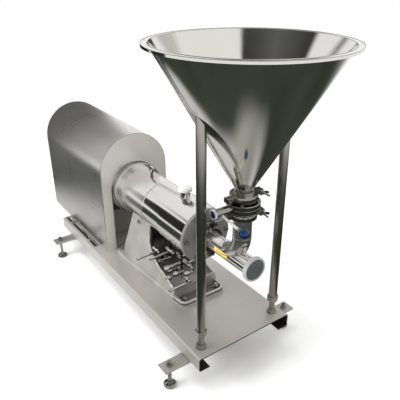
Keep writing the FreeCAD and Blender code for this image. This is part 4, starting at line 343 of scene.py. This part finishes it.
def knob_plastic():
    """Glossy blue, with painted shade underneath and a painted highlight toward the top."""
    s = new_material("blue_plastic")
    skin = s.noise(500, 2)
    facing = s.node("ShaderNodeNewGeometry", output="Normal")
    lift = s.node("ShaderNodeSeparateXYZ", None, {0: facing}, "Z")
    # Painted shade and highlight: deep blue where the surface faces down, brighter blue where it
    # faces up
    tint = s.blend((lift + skin * 0.1).over(-0.7, 1.05), colour(1, 9, 24), colour(3, 42, 90))
    return s.finish(s.surface(Base_Color=tint, Roughness=0.16 + skin * 0.04,
                              Normal=s.bump(skin, 0.000005)))


def label_film():
    """Yellow film, faded and worn in places."""
    s = new_material("label_film")
    wear_and_sheen = s.noise(160, 4)
    fade = s.noise(55, 2)
    sun = s.blend(fade.over(0.3, 0.7), colour(226, 199, 92), colour(205, 171, 74))
    tint = s.blend(wear_and_sheen.over(0.56, 0.7), sun, colour(196, 150, 84))
    return s.finish(s.surface(Base_Color=tint, Roughness=0.32 + wear_and_sheen * 0.2,
                              Normal=s.bump(wear_and_sheen, 0.00004)))


# Steels: name, tone, roughness, grain, what grain and smudges add to the roughness, depth of
# the grain in metres, and metallic
STEELS = {
    "mirror_x": ("mirror_turned_x", MIRROR, 0.08, ALONG_X, 0.05, 0.05, 0.000004, 1),
    "mirror_turned": ("mirror_turned_ring", MIRROR, 0.08, (700, 14, 14), 0.05, 0.05, 0.000004, 1),
    "mirror_ring": ("mirror_ring_z", MIRROR, 0.08, (14, 14, 700), 0.05, 0.05, 0.000004, 1),
    "turned": ("turned_steel", (186, 183, 178), 0.26, ROUND_AXIS, 0.16, 0.08, 0.00003, 1),
    "barrel": ("barrel_steel", (222, 221, 218), 0.16, ROUND_AXIS, 0.1, 0.08, 0.000008, 0.93),
    "cover": ("cover_steel", (150, 149, 147), 0.46, ROUND_AXIS, 0.16, 0.1, 0.00003, 0.6),
    "post": ("post_steel", (176, 173, 166), 0.16, UP_DOWN, 0.08, 0.06, 0.00002, 1),
    "clamp": ("clamp_steel", (150, 148, 143), 0.1, (90, 90, 90), 0.06, 0.06, 0.000008, 1),
    "satin_x": ("satin_sheet_x", (218, 216, 213), 0.27, ALONG_X, 0.03, 0.03, 0.000001, 0.97),
    "satin_cross": ("satin_sheet_cross", (176, 173, 169), 0.36, ALONG_Y, 0.1, 0.08, 0.00004,
                    0.7),
    "plate": ("hood_plate", (226, 221, 217), 0.36, UP_DOWN, 0.1, 0.06, 0.00003, 0.5),
    "tube": ("tube_steel", (216, 214, 209), 0.13, (60, 60, 60), 0.03, 0.03, 0.0000005, 0.96),
    "rod": ("rod_steel", (234, 231, 224), 0.26, (90, 90, 90), 0.08, 0.06, 0.00001, 0.6),
    "bolt": ("bolt_steel", (176, 174, 169), 0.26, (300, 300, 300), 0.12, 0.1, 0.00003, 1),
    # The slots' ribs: dark as painted shade
    "grille": ("grille_steel", (74, 68, 60), 0.45, (200, 200, 200), 0.1, 0.1, 0.00004, 0.7),
    # The webs' raised edges: a paler copy of the casting, as a painted highlight
    "ridge": ("ridge_steel", (222, 219, 214), 0.3, (160, 160, 160), 0.1, 0.08, 0.0002, 0.6),
    "bead": ("weld_bead", (196, 194, 189), 0.22, (160, 160, 160), 0.14, 0.08, 0.0002, 1),
}

# Paints and plastics: name, tone and roughness
PAINTS = {
    "core": ("core_iron", (96, 92, 88), 0.5),
    "motor": ("motor_paint", (74, 76, 78), 0.42),
}
PLASTICS = {
    "black": ("black_plastic", (30, 30, 30), 0.5),
    "pale": ("pale_plastic", (184, 185, 186), 0.4),
    "white": ("white_plastic", (214, 214, 212), 0.38),
    "grey": ("grey_plastic", (80, 81, 83), 0.42),
    "carbon": ("carbon_ring", (40, 40, 42), 0.25),
    "gasket": ("gasket_rubber", (222, 221, 216), 0.6),
    "spider": ("spider_rubber", (150, 42, 30), 0.55),
}


def make_finishes():
    made = {"base_sheet": folded_steel(), "fitting": fitting_steel(), "cast": cast_steel(),
            "blue": knob_plastic(), "label": label_film()}
    for maker, table in ((steel, STEELS), (painted, PAINTS), (plastic, PLASTICS)):
        made.update({key: maker(*values) for key, values in table.items()})
    return made


# The nodes of each finish; the others are plain bolts
NODE_FINISH = {
    "mirror_ring": ("hopper", "valve_disc", "valve_seat"),
    "mirror_turned": ("pump_casing", "seal_housing", "rotor", "stator"),
    "barrel": ("bearing_housing",),
    "turned": ("motor_end_shields", "pump_shaft", "bearing_inner_rings", "bearing_outer_rings"),
    "cover": ("casing_cover",),
    "tube": ("inlet_elbow",),
    "mirror_x": ("liquid_inlet_pipe",),
    "post": ("hopper_posts", "post_studs"),
    "clamp": ("levelling_foot_front_near", "levelling_foot_front_far",
              "levelling_foot_rear_near", "levelling_foot_rear_far",
              "valve_lever", "valve_body", "clamp_halves", "wing_nut_upper", "wing_nut_lower",
              "wing_nut_pump"),
    "satin_x": ("hood_shell",),
    "satin_cross": ("foot_bars", "motor_stool"),
    "plate": ("hood_end_plates",),
    "fitting": ("flush_valves", "flush_pipes", "seal_out_handle", "seal_in_handle",
                "drain_handle", "lifting_eye"),
    "base_sheet": ("base_frame",),
    "cast": ("pedestal",),
    "core": ("motor_stator", "motor_rotor", "coupling_hubs"),
    "motor": ("motor_frame", "fan_cowl"),
    "black": ("motor_fan",),
    "white": ("discharge_cap",),
    "pale": ("inlet_cap",),
    "blue": ("lever_knob",),
    "carbon": ("seal_seat",),
    "gasket": ("gaskets",),
    "spider": ("coupling_spider",),
}

# Widths of the softened edges
BEVELS = {
    0.0012: ("pedestal", "casing_cover", "foot_bars", "post_studs", "clamp_halves"),
    0.0006: ("cover_nuts", "base_bolts", "foot_bar_fasteners", "valve_bolts", "clamp_bolts",
             "inlet_cap", "discharge_cap", "hood_end_plates", "hood_screws", "flush_valves",
             "wing_nut_upper", "wing_nut_lower", "wing_nut_pump", "lifting_eye",
             "motor_end_shields"),
}
WELD_GAP = 0.00001
EDGE_ANGLE = 40


def dress_nodes(finishes):
    """Each node's finish, and softened edges where they show."""
    chosen = {name: "bolt" for name in nodes}
    for finish, members in NODE_FINISH.items():
        for name in members:
            chosen[name] = finish
    for name, finish in chosen.items():
        mesh = nodes[name].data
        mesh.materials.clear()
        mesh.materials.append(finishes[finish])
    for width, members in BEVELS.items():
        for name in members:
            weld = nodes[name].modifiers.new("weld", "WELD")
            weld.merge_threshold = WELD_GAP
            edge = nodes[name].modifiers.new("edge", "BEVEL")
            edge.width = width
            edge.segments = 2
            edge.limit_method = "ANGLE"
            edge.angle_limit = math.radians(EDGE_ANGLE)
            edge.harden_normals = True


# Pieces that are added to the CAD


def add_piece(name, data, finish, body="frame"):
    """An object for mesh or curve data, with its finish, that rides with a CAD body."""
    piece = bpy.data.objects.new(name, data)
    bpy.context.scene.collection.objects.link(piece)
    data.materials.append(finish)
    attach(piece, body)
    return piece


def wire(name, paths, radius, finish, body="frame", closed=False):
    """Round wires, such as weld beads and hems, along lists of points."""
    data = bpy.data.curves.new(name, "CURVE")
    data.dimensions = "3D"
    data.bevel_depth = radius
    data.bevel_resolution = 3
    for points in paths:
        spline = data.splines.new("POLY")
        spline.points.add(len(points) - 1)
        for point, place in zip(spline.points, points):
            point.co = (*place, 1)
        spline.use_cyclic_u = closed
    return add_piece(name, data, finish, body)


def circle(centre, radius, axis, steps=64):
    """Points of a circle that is square to X, Y or Z."""
    points = []
    for i in range(steps):
        turn = 2 * math.pi * i / steps
        flat = (radius * math.cos(turn), radius * math.sin(turn))
        offset = {"X": (0, *flat), "Y": (flat[0], 0, flat[1]), "Z": (*flat, 0)}[axis]
        points.append(tuple(a + b for a, b in zip(centre, offset)))
    return points


def lathe(name, rings, centre, axis, finish, body="frame", steps=48):
    """A turned piece; rings are (distance along the axis, radius), with closed ends."""
    work = bmesh.new()
    loops = []
    for along, radius in rings:
        place = [c + along * (letter == axis) for c, letter in zip(centre, "XYZ")]
        loops.append([work.verts.new(point) for point in circle(place, radius, axis, steps)])
    for low, high in zip(loops, loops[1:]):
        for i in range(steps):
            j = (i + 1) % steps
            work.faces.new((low[i], low[j], high[j], high[i]))
    work.faces.new(loops[0])
    work.faces.new(loops[-1])
    bmesh.ops.recalc_face_normals(work, faces=work.faces)
    for face in work.faces:
        face.smooth = len(face.verts) == 4
    data = bpy.data.meshes.new(name)
    work.to_mesh(data)
    work.free()
    return add_piece(name, data, finish, body)


def thread(name, centre, span, radius, pitch, finish, body="frame"):
    """Ridges of a thread along Z, a little proud of the plain stud."""
    low, high = span
    rings = []
    for i in range(int((high - low) / pitch)):
        start = low + i * pitch
        rings += [(start, radius - 0.0002), (start + pitch / 2, radius + 0.0004)]
    return lathe(name, rings, (*centre, 0), "Z", finish, body, 32)


def pipe_welds(finishes):
    """The saddle weld between elbow and liquid pipe, and the ring welds of the ferrules."""
    saddle = []
    steps = 40
    for i in range(-steps, steps + 1):
        turn = math.pi / 2 * i / steps
        rise = TUBE_RADIUS * math.cos(turn)
        saddle.append((BEND_X + 2 * math.sqrt(ELBOW_BEND * rise), TUBE_RADIUS * math.sin(turn),
                       AXIS_Z + rise))
    wire("saddle_weld", [saddle], 0.0019, finishes["bead"])
    level = [circle((x, 0, AXIS_Z), TUBE_RADIUS, "X") for x in TUBE_WELDS_X]
    upright = [circle((HOPPER_X, 0, z), TUBE_RADIUS, "Z") for z in TUBE_WELDS_Z]
    wire("tube_welds", level + upright, 0.0009, finishes["bead"], closed=True)
    wire("outlet_weld", [circle((OUTLET_X, 0, AXIS_Z + 0.1252), 0.0222, "Z")], 0.0016,
         finishes["bead"], closed=True)


def pipe_label(finishes):
    """A bare yellow label that is wrapped on the near side of elbow and pipe."""
    work = bmesh.new()
    columns, rows = 24, 10
    start, end, low, high = 0.530, 0.6175, -0.0105, 0.0135
    grid = []
    for i in range(columns + 1):
        x = start + (end - start) * i / columns
        column = []
        for j in range(rows + 1):
            rise = low + (high - low) * j / rows
            off_bend = math.hypot(max(0, x - BEND_X), ELBOW_BEND - rise) - ELBOW_BEND
            depth = TUBE_RADIUS ** 2 - min(rise ** 2, off_bend ** 2)
            column.append(work.verts.new((x, -math.sqrt(depth) - 0.0005, AXIS_Z + rise)))
        grid.append(column)
    for left, right in zip(grid, grid[1:]):
        for j in range(rows):
            work.faces.new((left[j], right[j], right[j + 1], left[j + 1])).smooth = True
    data = bpy.data.meshes.new("pipe_label")
    work.to_mesh(data)
    work.free()
    label = add_piece("pipe_label", data, finishes["label"])
    sheet = label.modifiers.new("film", "SOLIDIFY")
    sheet.thickness = 0.0003
    sheet.offset = 0


def arch_path(x, half, spring):
    """Up one side, round the top and down the other, square to X."""
    low = PLATE_Z + 0.002
    points = [(x, -half, low)]
    steps = 32
    for i in range(steps + 1):
        turn = math.pi * i / steps
        points.append((x, -half * math.cos(turn), spring + half * math.sin(turn)))
    return points + [(x, half, low)]


def hood_hems(finishes):
    """Hems round the hood's front opening and its two ends."""
    opening = arch_path(HOOD_FRONT, HOOD_OPENING, AXIS_Z)
    wire("hood_opening_hem", [opening], 0.0022, finishes["bead"], "hood")
    edges = [arch_path(x, HOOD_HALF - 0.001, HOOD_SPRING) for x in (HOOD_FRONT, HOOD_REAR)]
    wire("hood_edge_hems", edges, 0.0016, finishes["bead"], "hood")


def hopper_trim(finishes):
    """Rolled beads on the rim and the seam of the cone, which is at the back."""
    beads = [circle((HOPPER_X, 0, HOPPER_TOP), radius, "Z", 128) for radius in RIM_BEADS]
    wire("rim_beads", beads, 0.0014, finishes["bead"], closed=True)
    shift = 0.0002
    seam = [(HOPPER_X - TUBE_RADIUS - shift, 0, NECK_TOP),
            (HOPPER_X - HOPPER_MOUTH - shift, 0, HOPPER_TOP - 0.003)]
    wire("cone_seam", [seam], 0.0011, finishes["bead"])


def cap_faces(finishes):
    """The face and rim of the inlet cap and the step on the outlet cap."""
    lathe("inlet_cap_face", [(0, 0.0455), (0.0006, 0.0450), (0.0006, 0.004)],
          (INLET_CAP_FACE, 0, AXIS_Z), "X", finishes["grey"], "inlet_cap")
    wire("inlet_cap_rim", [circle((INLET_CAP_FACE, 0, AXIS_Z), 0.0498, "X", 96)], 0.0030,
         finishes["pale"], "inlet_cap", True)
    lathe("outlet_cap_step", [(-0.0005, 0.0285), (0.0022, 0.0275), (0.0026, 0.0262),
                              (0.0026, 0.004)],
          (OUTLET_X, 0, OUTLET_HIGH.z), "Z", finishes["white"], "discharge_cap")


def lever_trim(finishes):
    """The ring and eye on the valve's hub, and the sleeve and collar of its rod."""
    hub = (HOPPER_X, HUB_TIP, VALVE_Z)
    lathe("hub_cap_ring", [(0.0082, 0.0193), (0.001, 0.0193), (-0.0006, 0.018),
                           (-0.0006, 0.003)],
          hub, "Y", finishes["white"], "valve_lever")
    lathe("hub_cap_eye", [(-0.0004, 0.0164), (-0.0016, 0.0152), (-0.0021, 0.009),
                          (-0.0022, 0.001)],
          hub, "Y", finishes["blue"], "valve_lever")
    droop = math.tan(math.radians(LEVER_DROOP))
    rod = [(HOPPER_X + reach, LEVER_Y, VALVE_Z - reach * droop) for reach in (0.024, 0.119)]
    wire("lever_sleeve", [rod], 0.0056, finishes["rod"], "valve_lever")
    lathe("knob_collar", [(0, 0.0075), (0.004, 0.0085), (0.008, 0.0085), (0.010, 0.0068)],
          (HOPPER_X + 0.118, LEVER_Y, VALVE_Z - 0.0186), "X", finishes["bolt"], "valve_lever")


def threads(finishes):
    """Threads of the levelling feet and of the posts' studs."""
    for end in ("front", "rear"):
        for side in ("near", "far"):
            foot = f"levelling_foot_{end}_{side}"
            centre = origins[f"{foot}_screw"][:2]
            for part, span in FOOT_THREADS.items():
                thread(f"{foot}_{part}", centre, span, 0.008, 0.002, finishes["bolt"], foot)
    for side, y in (("near", -POST_Y), ("far", POST_Y)):
        thread(f"post_thread_{side}", (HOPPER_X, y), POST_THREAD, 0.012, 0.003,
               finishes["bolt"])


def valve_trim(finishes):
    """Edge beads on the two bolted flanges of the valve."""
    rings = [circle((HOPPER_X, 0, VALVE_Z + shift), 0.0661, "Z", 96)
             for shift in (-0.0175, 0, 0.0175)]
    wire("valve_edge_beads", rings, 0.0012, finishes["clamp"], closed=True)


def slot_grilles(finishes):
    """A black strip under the air slots beside the hood, and ribs in and beside them, all dark as
    painted shade that widens the dark of the slots.
    """
    strips = []
    ribs = []
    for y in (-SLOT_Y, SLOT_Y):
        strips.append([(SLOT_REAR, y, GRILLE_Z), (SLOT_FRONT, y, GRILLE_Z)])
        for shift in RIBS_IN_SLOT:
            ribs.append([(SLOT_REAR, y + shift, GRILLE_Z + 0.0034),
                         (SLOT_FRONT, y + shift, GRILLE_Z + 0.0034)])
        side = math.copysign(1, y)
        for low, high in SLOT_SPANS:
            for shift in RIBS_BESIDE_SLOT:
                ribs.append([(low, y + side * shift, PLATE_Z), (high, y + side * shift, PLATE_Z)])
    wire("slot_shade", strips, 0.0028, finishes["black"])
    wire("slot_ribs", ribs, 0.0015, finishes["grille"])


def casting_ridges(finishes):
    """The raised edge along the front of each side web, paler than the casting as a painted
    highlight.
    """
    profile = ((0.072, 0.230), (0.072, 0.190), (0.098, 0.155), (0.132, 0.128),
               (0.176, 0.106), (0.333, 0.061))
    ridges = [[(x, side * (0.1285 - WEB_LEAN * height), PLATE_Z + height)
               for x, height in profile] for side in (-1, 1)]
    wire("web_ridges", ridges, 0.0038, finishes["ridge"])


def manifold_trim(finishes):
    """Unions on the ends of the manifold's branches and sleeves on its tees."""
    ends = ((0.260, -0.086, 0.298), (0.300, -0.077, 0.298), (0.340, -0.041, 0.308),
            (0.140, -0.082, 0.284), (0.100, -0.081, 0.243), (0.260, -0.093, 0.259))
    union = [(0.004, 0.006), (0.003, 0.0095), (-0.004, 0.0095), (-0.0045, 0.0118),
             (-0.0155, 0.0118), (-0.016, 0.0088), (-0.027, 0.0088), (-0.028, 0.005)]
    for i, place in enumerate(ends):
        lathe(f"manifold_union_{i}", union, place, "Y", finishes["fitting"], steps=20)
    tees = ((0.200, -0.016, 0.320), (0.260, -0.016, 0.320), (0.300, -0.016, 0.320))
    sleeve = [(-0.013, 0.0062), (-0.0126, 0.0098), (0.0126, 0.0098), (0.013, 0.0062)]
    for i, place in enumerate(tees):
        lathe(f"manifold_tee_{i}", sleeve, place, "X", finishes["fitting"], steps=20)


def flush_trim(finishes):
    """Sleeves and domed ends on the rod handles and packing nuts round their stems."""
    fall = math.radians(HANDLE_TILT)
    for name in ("seal_out", "seal_in", "drain"):
        x, y, z = origins[f"{name}_turn"]
        ahead = Vector((0, -math.cos(fall), -math.sin(fall)))
        root = Vector((x, y + HANDLE_OVERHANG, z))
        tip = root + ahead * HANDLE_TIP
        wire(f"{name}_sleeve", [[root + ahead * 0.020, tip - ahead * 0.0006]], 0.0066,
             finishes["fitting"], f"{name}_handle")
        lathe(f"{name}_end", [(0.0016, 0.0066), (-0.0014, 0.0062), (-0.0021, 0.0050),
                              (-0.0024, 0.0010)],
              tip, "Y", finishes["fitting"], f"{name}_handle", 24)
        lathe(f"{name}_packing", [(0.0064, 0.0052), (0.0066, 0.0078), (0.0100, 0.0078),
                                  (0.0104, 0.0066)],
              (x, y, z), "Z", finishes["bolt"], "frame", 6)


def add_details(finishes):
    """All the pieces that are added to the CAD."""
    pipe_welds(finishes)
    pipe_label(finishes)
    hood_hems(finishes)
    hopper_trim(finishes)
    cap_faces(finishes)
    lever_trim(finishes)
    threads(finishes)
    slot_grilles(finishes)
    casting_ridges(finishes)
    manifold_trim(finishes)
    valve_trim(finishes)
    flush_trim(finishes)


# Studio

CAMERA_PLACE = (1.926, -1.0997, 1.6329)
CAMERA_TURN = 54.7
CAMERA_FALL = 26.23
CAMERA_LENS = 43.43
SENSOR_WIDTH = 36
FLOOR_SIZE = 18
FLOOR_CARD_SIZE = 9
FRONT_CARD_SIZE = 1.4
ROOM_RADIUS = 5

# Upright cards: name, size, place, turn about Z, tone, and where the edge starts and ends
CARDS = (
    ("stage_card_rear", 2.8, (-2.3, -0.12, 0.95), 0, (26, 27, 25), (0.98, 1.25)),
    ("stage_card_side", 1.5, (-1.33, -1.68, 0.98), 46, (46, 45, 42), (0.5, 0.68)),
    ("stage_card_far", 1.2, (-1.2, 1.86, 1.87), -45, (62, 62, 60), (0.3, 0.58)),
)

# Lamps: name, place, target, size and power
LAMPS = (
    ("lamp_over", (0.2, -0.4, 3.4), (0.1, 0, 0.5), (2.6, 2.0), 62),
    ("lamp_front", (3.0, -0.6, 2.2), (0.0, 0, 0.8), (1.6, 1.6), 18),
    ("lamp_near", (-0.9, -3.0, 1.9), (-0.5, 0, 0.4), (2.4, 1.2), 124),
    ("lamp_far", (-0.8, 3.0, 2.2), (0, 0, 0.6), (2.2, 1.2), 30),
)

# Tones of the room as steel shows them, by the compass way round from -X; the hopper's
# inside shows the dark part between the near side and the front
ROOM_TONES = ((-180, 165), (-169, 165), (-163, 250), (-154, 250), (-150, 178), (-144, 105),
              (-137, 56), (-120, 78), (-85, 100), (-50, 75), (-28, 60), (-21, 255), (75, 255),
              (84, 215), (112, 206), (160, 196), (172, 150), (180, 150))


def add_sheet(name, size, place, turn, material):
    """A square stage sheet that lies across its own Z."""
    half = size / 2
    mesh = bpy.data.meshes.new(name)
    mesh.from_pydata([(-half, -half, 0), (half, -half, 0), (half, half, 0), (-half, half, 0)],
                     [], [(0, 1, 2, 3)])
    mesh.materials.append(material)
    sheet = bpy.data.objects.new(name, mesh)
    bpy.context.scene.collection.objects.link(sheet)
    sheet.matrix_world = Matrix.Translation(place) @ turn.to_4x4()
    return sheet


def white_to_sight(s):
    """1 for a ray from the camera, and for one that metal or glass has turned."""
    kinds = ("Is Camera Ray", "Is Glossy Ray", "Is Transmission Ray")
    camera, glossy, through = (s.node("ShaderNodeLightPath", output=kind) for kind in kinds)
    return camera.math("MAXIMUM", glossy).math("MAXIMUM", through)


def floor_material():
    """A pale floor that goes over to white away from the machine."""
    s = new_material("stage_floor")
    point = s.node("ShaderNodeTexCoord", output="Object")
    distance = s.node("ShaderNodeVectorMath", {"operation": "LENGTH"}, {0: point}, "Value")
    away = distance.over(1.2, 3.2)
    grain = s.noise(30, 2)
    near = s.surface(Base_Color=s.blend(grain, colour(238, 238, 238), colour(242, 242, 242)),
                     Roughness=0.9)
    white = s.node("ShaderNodeEmission", None, {"Color": WHITE, "Strength": 1.0})
    return s.finish(s.node("ShaderNodeMixShader", None,
                           {0: away * white_to_sight(s), 1: near, 2: white}))


def card_material(name, tone, edge, middle=None):
    """A grey card with a soft edge, and a lighter middle where the machine stands."""
    s = new_material(name)
    point = s.node("ShaderNodeTexCoord", output="Object")
    distance = s.node("ShaderNodeVectorMath", {"operation": "LENGTH"}, {0: point}, "Value")
    cloud = s.noise(0.8, 2)
    tint = s.blend(cloud.over(0.3, 0.7), shade(tone, 0.8), shade(tone, 1.2))
    if middle:
        squeezed = s.node("ShaderNodeVectorMath", {"operation": "MULTIPLY_ADD"},
                          {0: point, 1: (0.42, 1, 1), 2: (0.15, 0, 0)})
        near = s.node("ShaderNodeVectorMath", {"operation": "LENGTH"}, {0: squeezed}, "Value")
        tint = s.blend((near + cloud * 0.15).over(0.62, 0.8), middle, tint)
    card = s.node("ShaderNodeEmission", None, {"Color": tint, "Strength": 1.0})
    clear = s.node("ShaderNodeBsdfTransparent")
    return s.finish(s.node("ShaderNodeMixShader", None,
                           {0: distance.over(*edge), 1: card, 2: clear}))


def add_card(name, size, place, turn, tone, edge, middle=None):
    """A card outside the picture that only the polished steel shows."""
    material = card_material(name, tone, edge, middle)
    hide_from_sight(add_sheet(name, size, place, turn, material))


def room_material():
    """Grey tones by the way round, white high up at the rear, clear at the top and bottom."""
    s = new_material("stage_room")
    x, y, z = s.where()
    way = y.math("ARCTAN2", x) * (0.5 / math.pi) + 0.5
    stops = [((angle + 180) / 360, colour(tone, tone, tone * 0.98)) for angle, tone in ROOM_TONES]
    tint = s.node("ShaderNodeValToRGB", {"stops": stops}, {"Fac": way}, "Color")
    high = z * (1 / ROOM_RADIUS)
    bright = high.over(0.34, 0.44) * (x * (-1 / ROOM_RADIUS)).over(0.58, 0.68)
    tint = s.blend(bright, tint, WHITE)
    wall = s.node("ShaderNodeEmission", None, {"Color": tint, "Strength": 1.0})
    clear = s.node("ShaderNodeBsdfTransparent")
    fade = high.over(0.88, 0.97).math("MAXIMUM", (high * -1).over(-0.36, -0.24))
    return s.finish(s.node("ShaderNodeMixShader", None, {0: fade, 1: wall, 2: clear}))


def hide_from_sight(sheet):
    """Leave a stage piece in the reflections alone."""
    sheet.visible_camera = False
    sheet.visible_diffuse = False
    sheet.visible_shadow = False


def add_room():
    """Part of a sphere outside the picture that only steel shows."""
    work = bmesh.new()
    bmesh.ops.create_uvsphere(work, u_segments=48, v_segments=24, radius=ROOM_RADIUS)
    low = [v for v in work.verts if v.co.z < 0.1 * ROOM_RADIUS]
    bmesh.ops.delete(work, geom=low, context="VERTS")
    mesh = bpy.data.meshes.new("stage_room")
    work.to_mesh(mesh)
    work.free()
    mesh.materials.append(room_material())
    room = bpy.data.objects.new("stage_room", mesh)
    bpy.context.scene.collection.objects.link(room)
    room.location = (HOPPER_X, 0, HOPPER_TOP)
    hide_from_sight(room)


def build_stage():
    """The floor, the cards that lie on it, the upright cards and the room."""
    level = Matrix.Identity(3)
    add_sheet("stage_floor", FLOOR_SIZE, (0, 0, 0), level, floor_material())
    add_card("stage_card_floor", FLOOR_CARD_SIZE, (0, 0, 0.002), level, colour(62, 67, 57),
             (2.2, 4.2), colour(218, 217, 216))
    across = Matrix.Rotation(math.radians(90), 3, "Y")
    for name, size, place, angle, tone, edge in CARDS:
        turn = Matrix.Rotation(math.radians(angle), 3, "Z") @ across
        add_card(name, size, place, turn, colour(*tone), edge)
    add_card("stage_card_front", FRONT_CARD_SIZE, (0.86, -0.14, 0.004), level,
             colour(166, 163, 156), (0.14, 0.46))
    add_room()


def build_world():
    """White beyond the floor, and a soft ceiling light over a grey room for the rest."""
    world = bpy.data.worlds.new("studio")
    bpy.context.scene.world = world
    s = Shader(world)
    ray = s.node("ShaderNodeTexCoord", output="Generated")
    split = s.node("ShaderNodeSeparateXYZ", None, {0: ray}, "Z")
    room = s.blend(split.over(-0.4, 0.9), colour(120, 118, 116), colour(236, 236, 236))
    tint = s.blend(white_to_sight(s), room, WHITE)
    s.finish(s.node("ShaderNodeBackground", None, {"Color": tint, "Strength": 1.0}),
             "ShaderNodeOutputWorld")


def add_lamp(name, place, target, size, power):
    """A lamp for the dull surfaces; polished steel shows the room and the cards alone."""
    data = bpy.data.lights.new(name, "AREA")
    data.shape = "RECTANGLE"
    data.size, data.size_y = size
    data.energy = power
    lamp = bpy.data.objects.new(name, data)
    bpy.context.scene.collection.objects.link(lamp)
    lamp.location = place
    aim = Vector(target) - Vector(place)
    lamp.rotation_euler = aim.to_track_quat("-Z", "Y").to_euler()
    lamp.visible_glossy = False


def add_camera():
    """The camera, level at its sides, as it was solved from the photograph."""
    data = bpy.data.cameras.new("camera")
    data.lens = CAMERA_LENS
    data.sensor_width = SENSOR_WIDTH
    data.sensor_fit = "HORIZONTAL"
    camera = bpy.data.objects.new("camera", data)
    bpy.context.scene.collection.objects.link(camera)
    turn = math.radians(CAMERA_TURN)
    fall = math.radians(CAMERA_FALL)
    ahead = Vector((-math.sin(turn) * math.cos(fall), math.cos(turn) * math.cos(fall),
                    -math.sin(fall)))
    side = Vector((math.cos(turn), math.sin(turn), 0))
    up = side.cross(ahead)
    axes = Matrix((side, up, -ahead)).transposed()
    camera.matrix_world = Matrix.Translation(CAMERA_PLACE) @ axes.to_4x4()
    bpy.context.scene.camera = camera


def build_studio():
    bpy.context.scene.view_settings.view_transform = "Standard"
    build_stage()
    build_world()
    for lamp in LAMPS:
        add_lamp(*lamp)


finishes = make_finishes()
dress_nodes(finishes)
add_details(finishes)
build_studio()
add_camera()
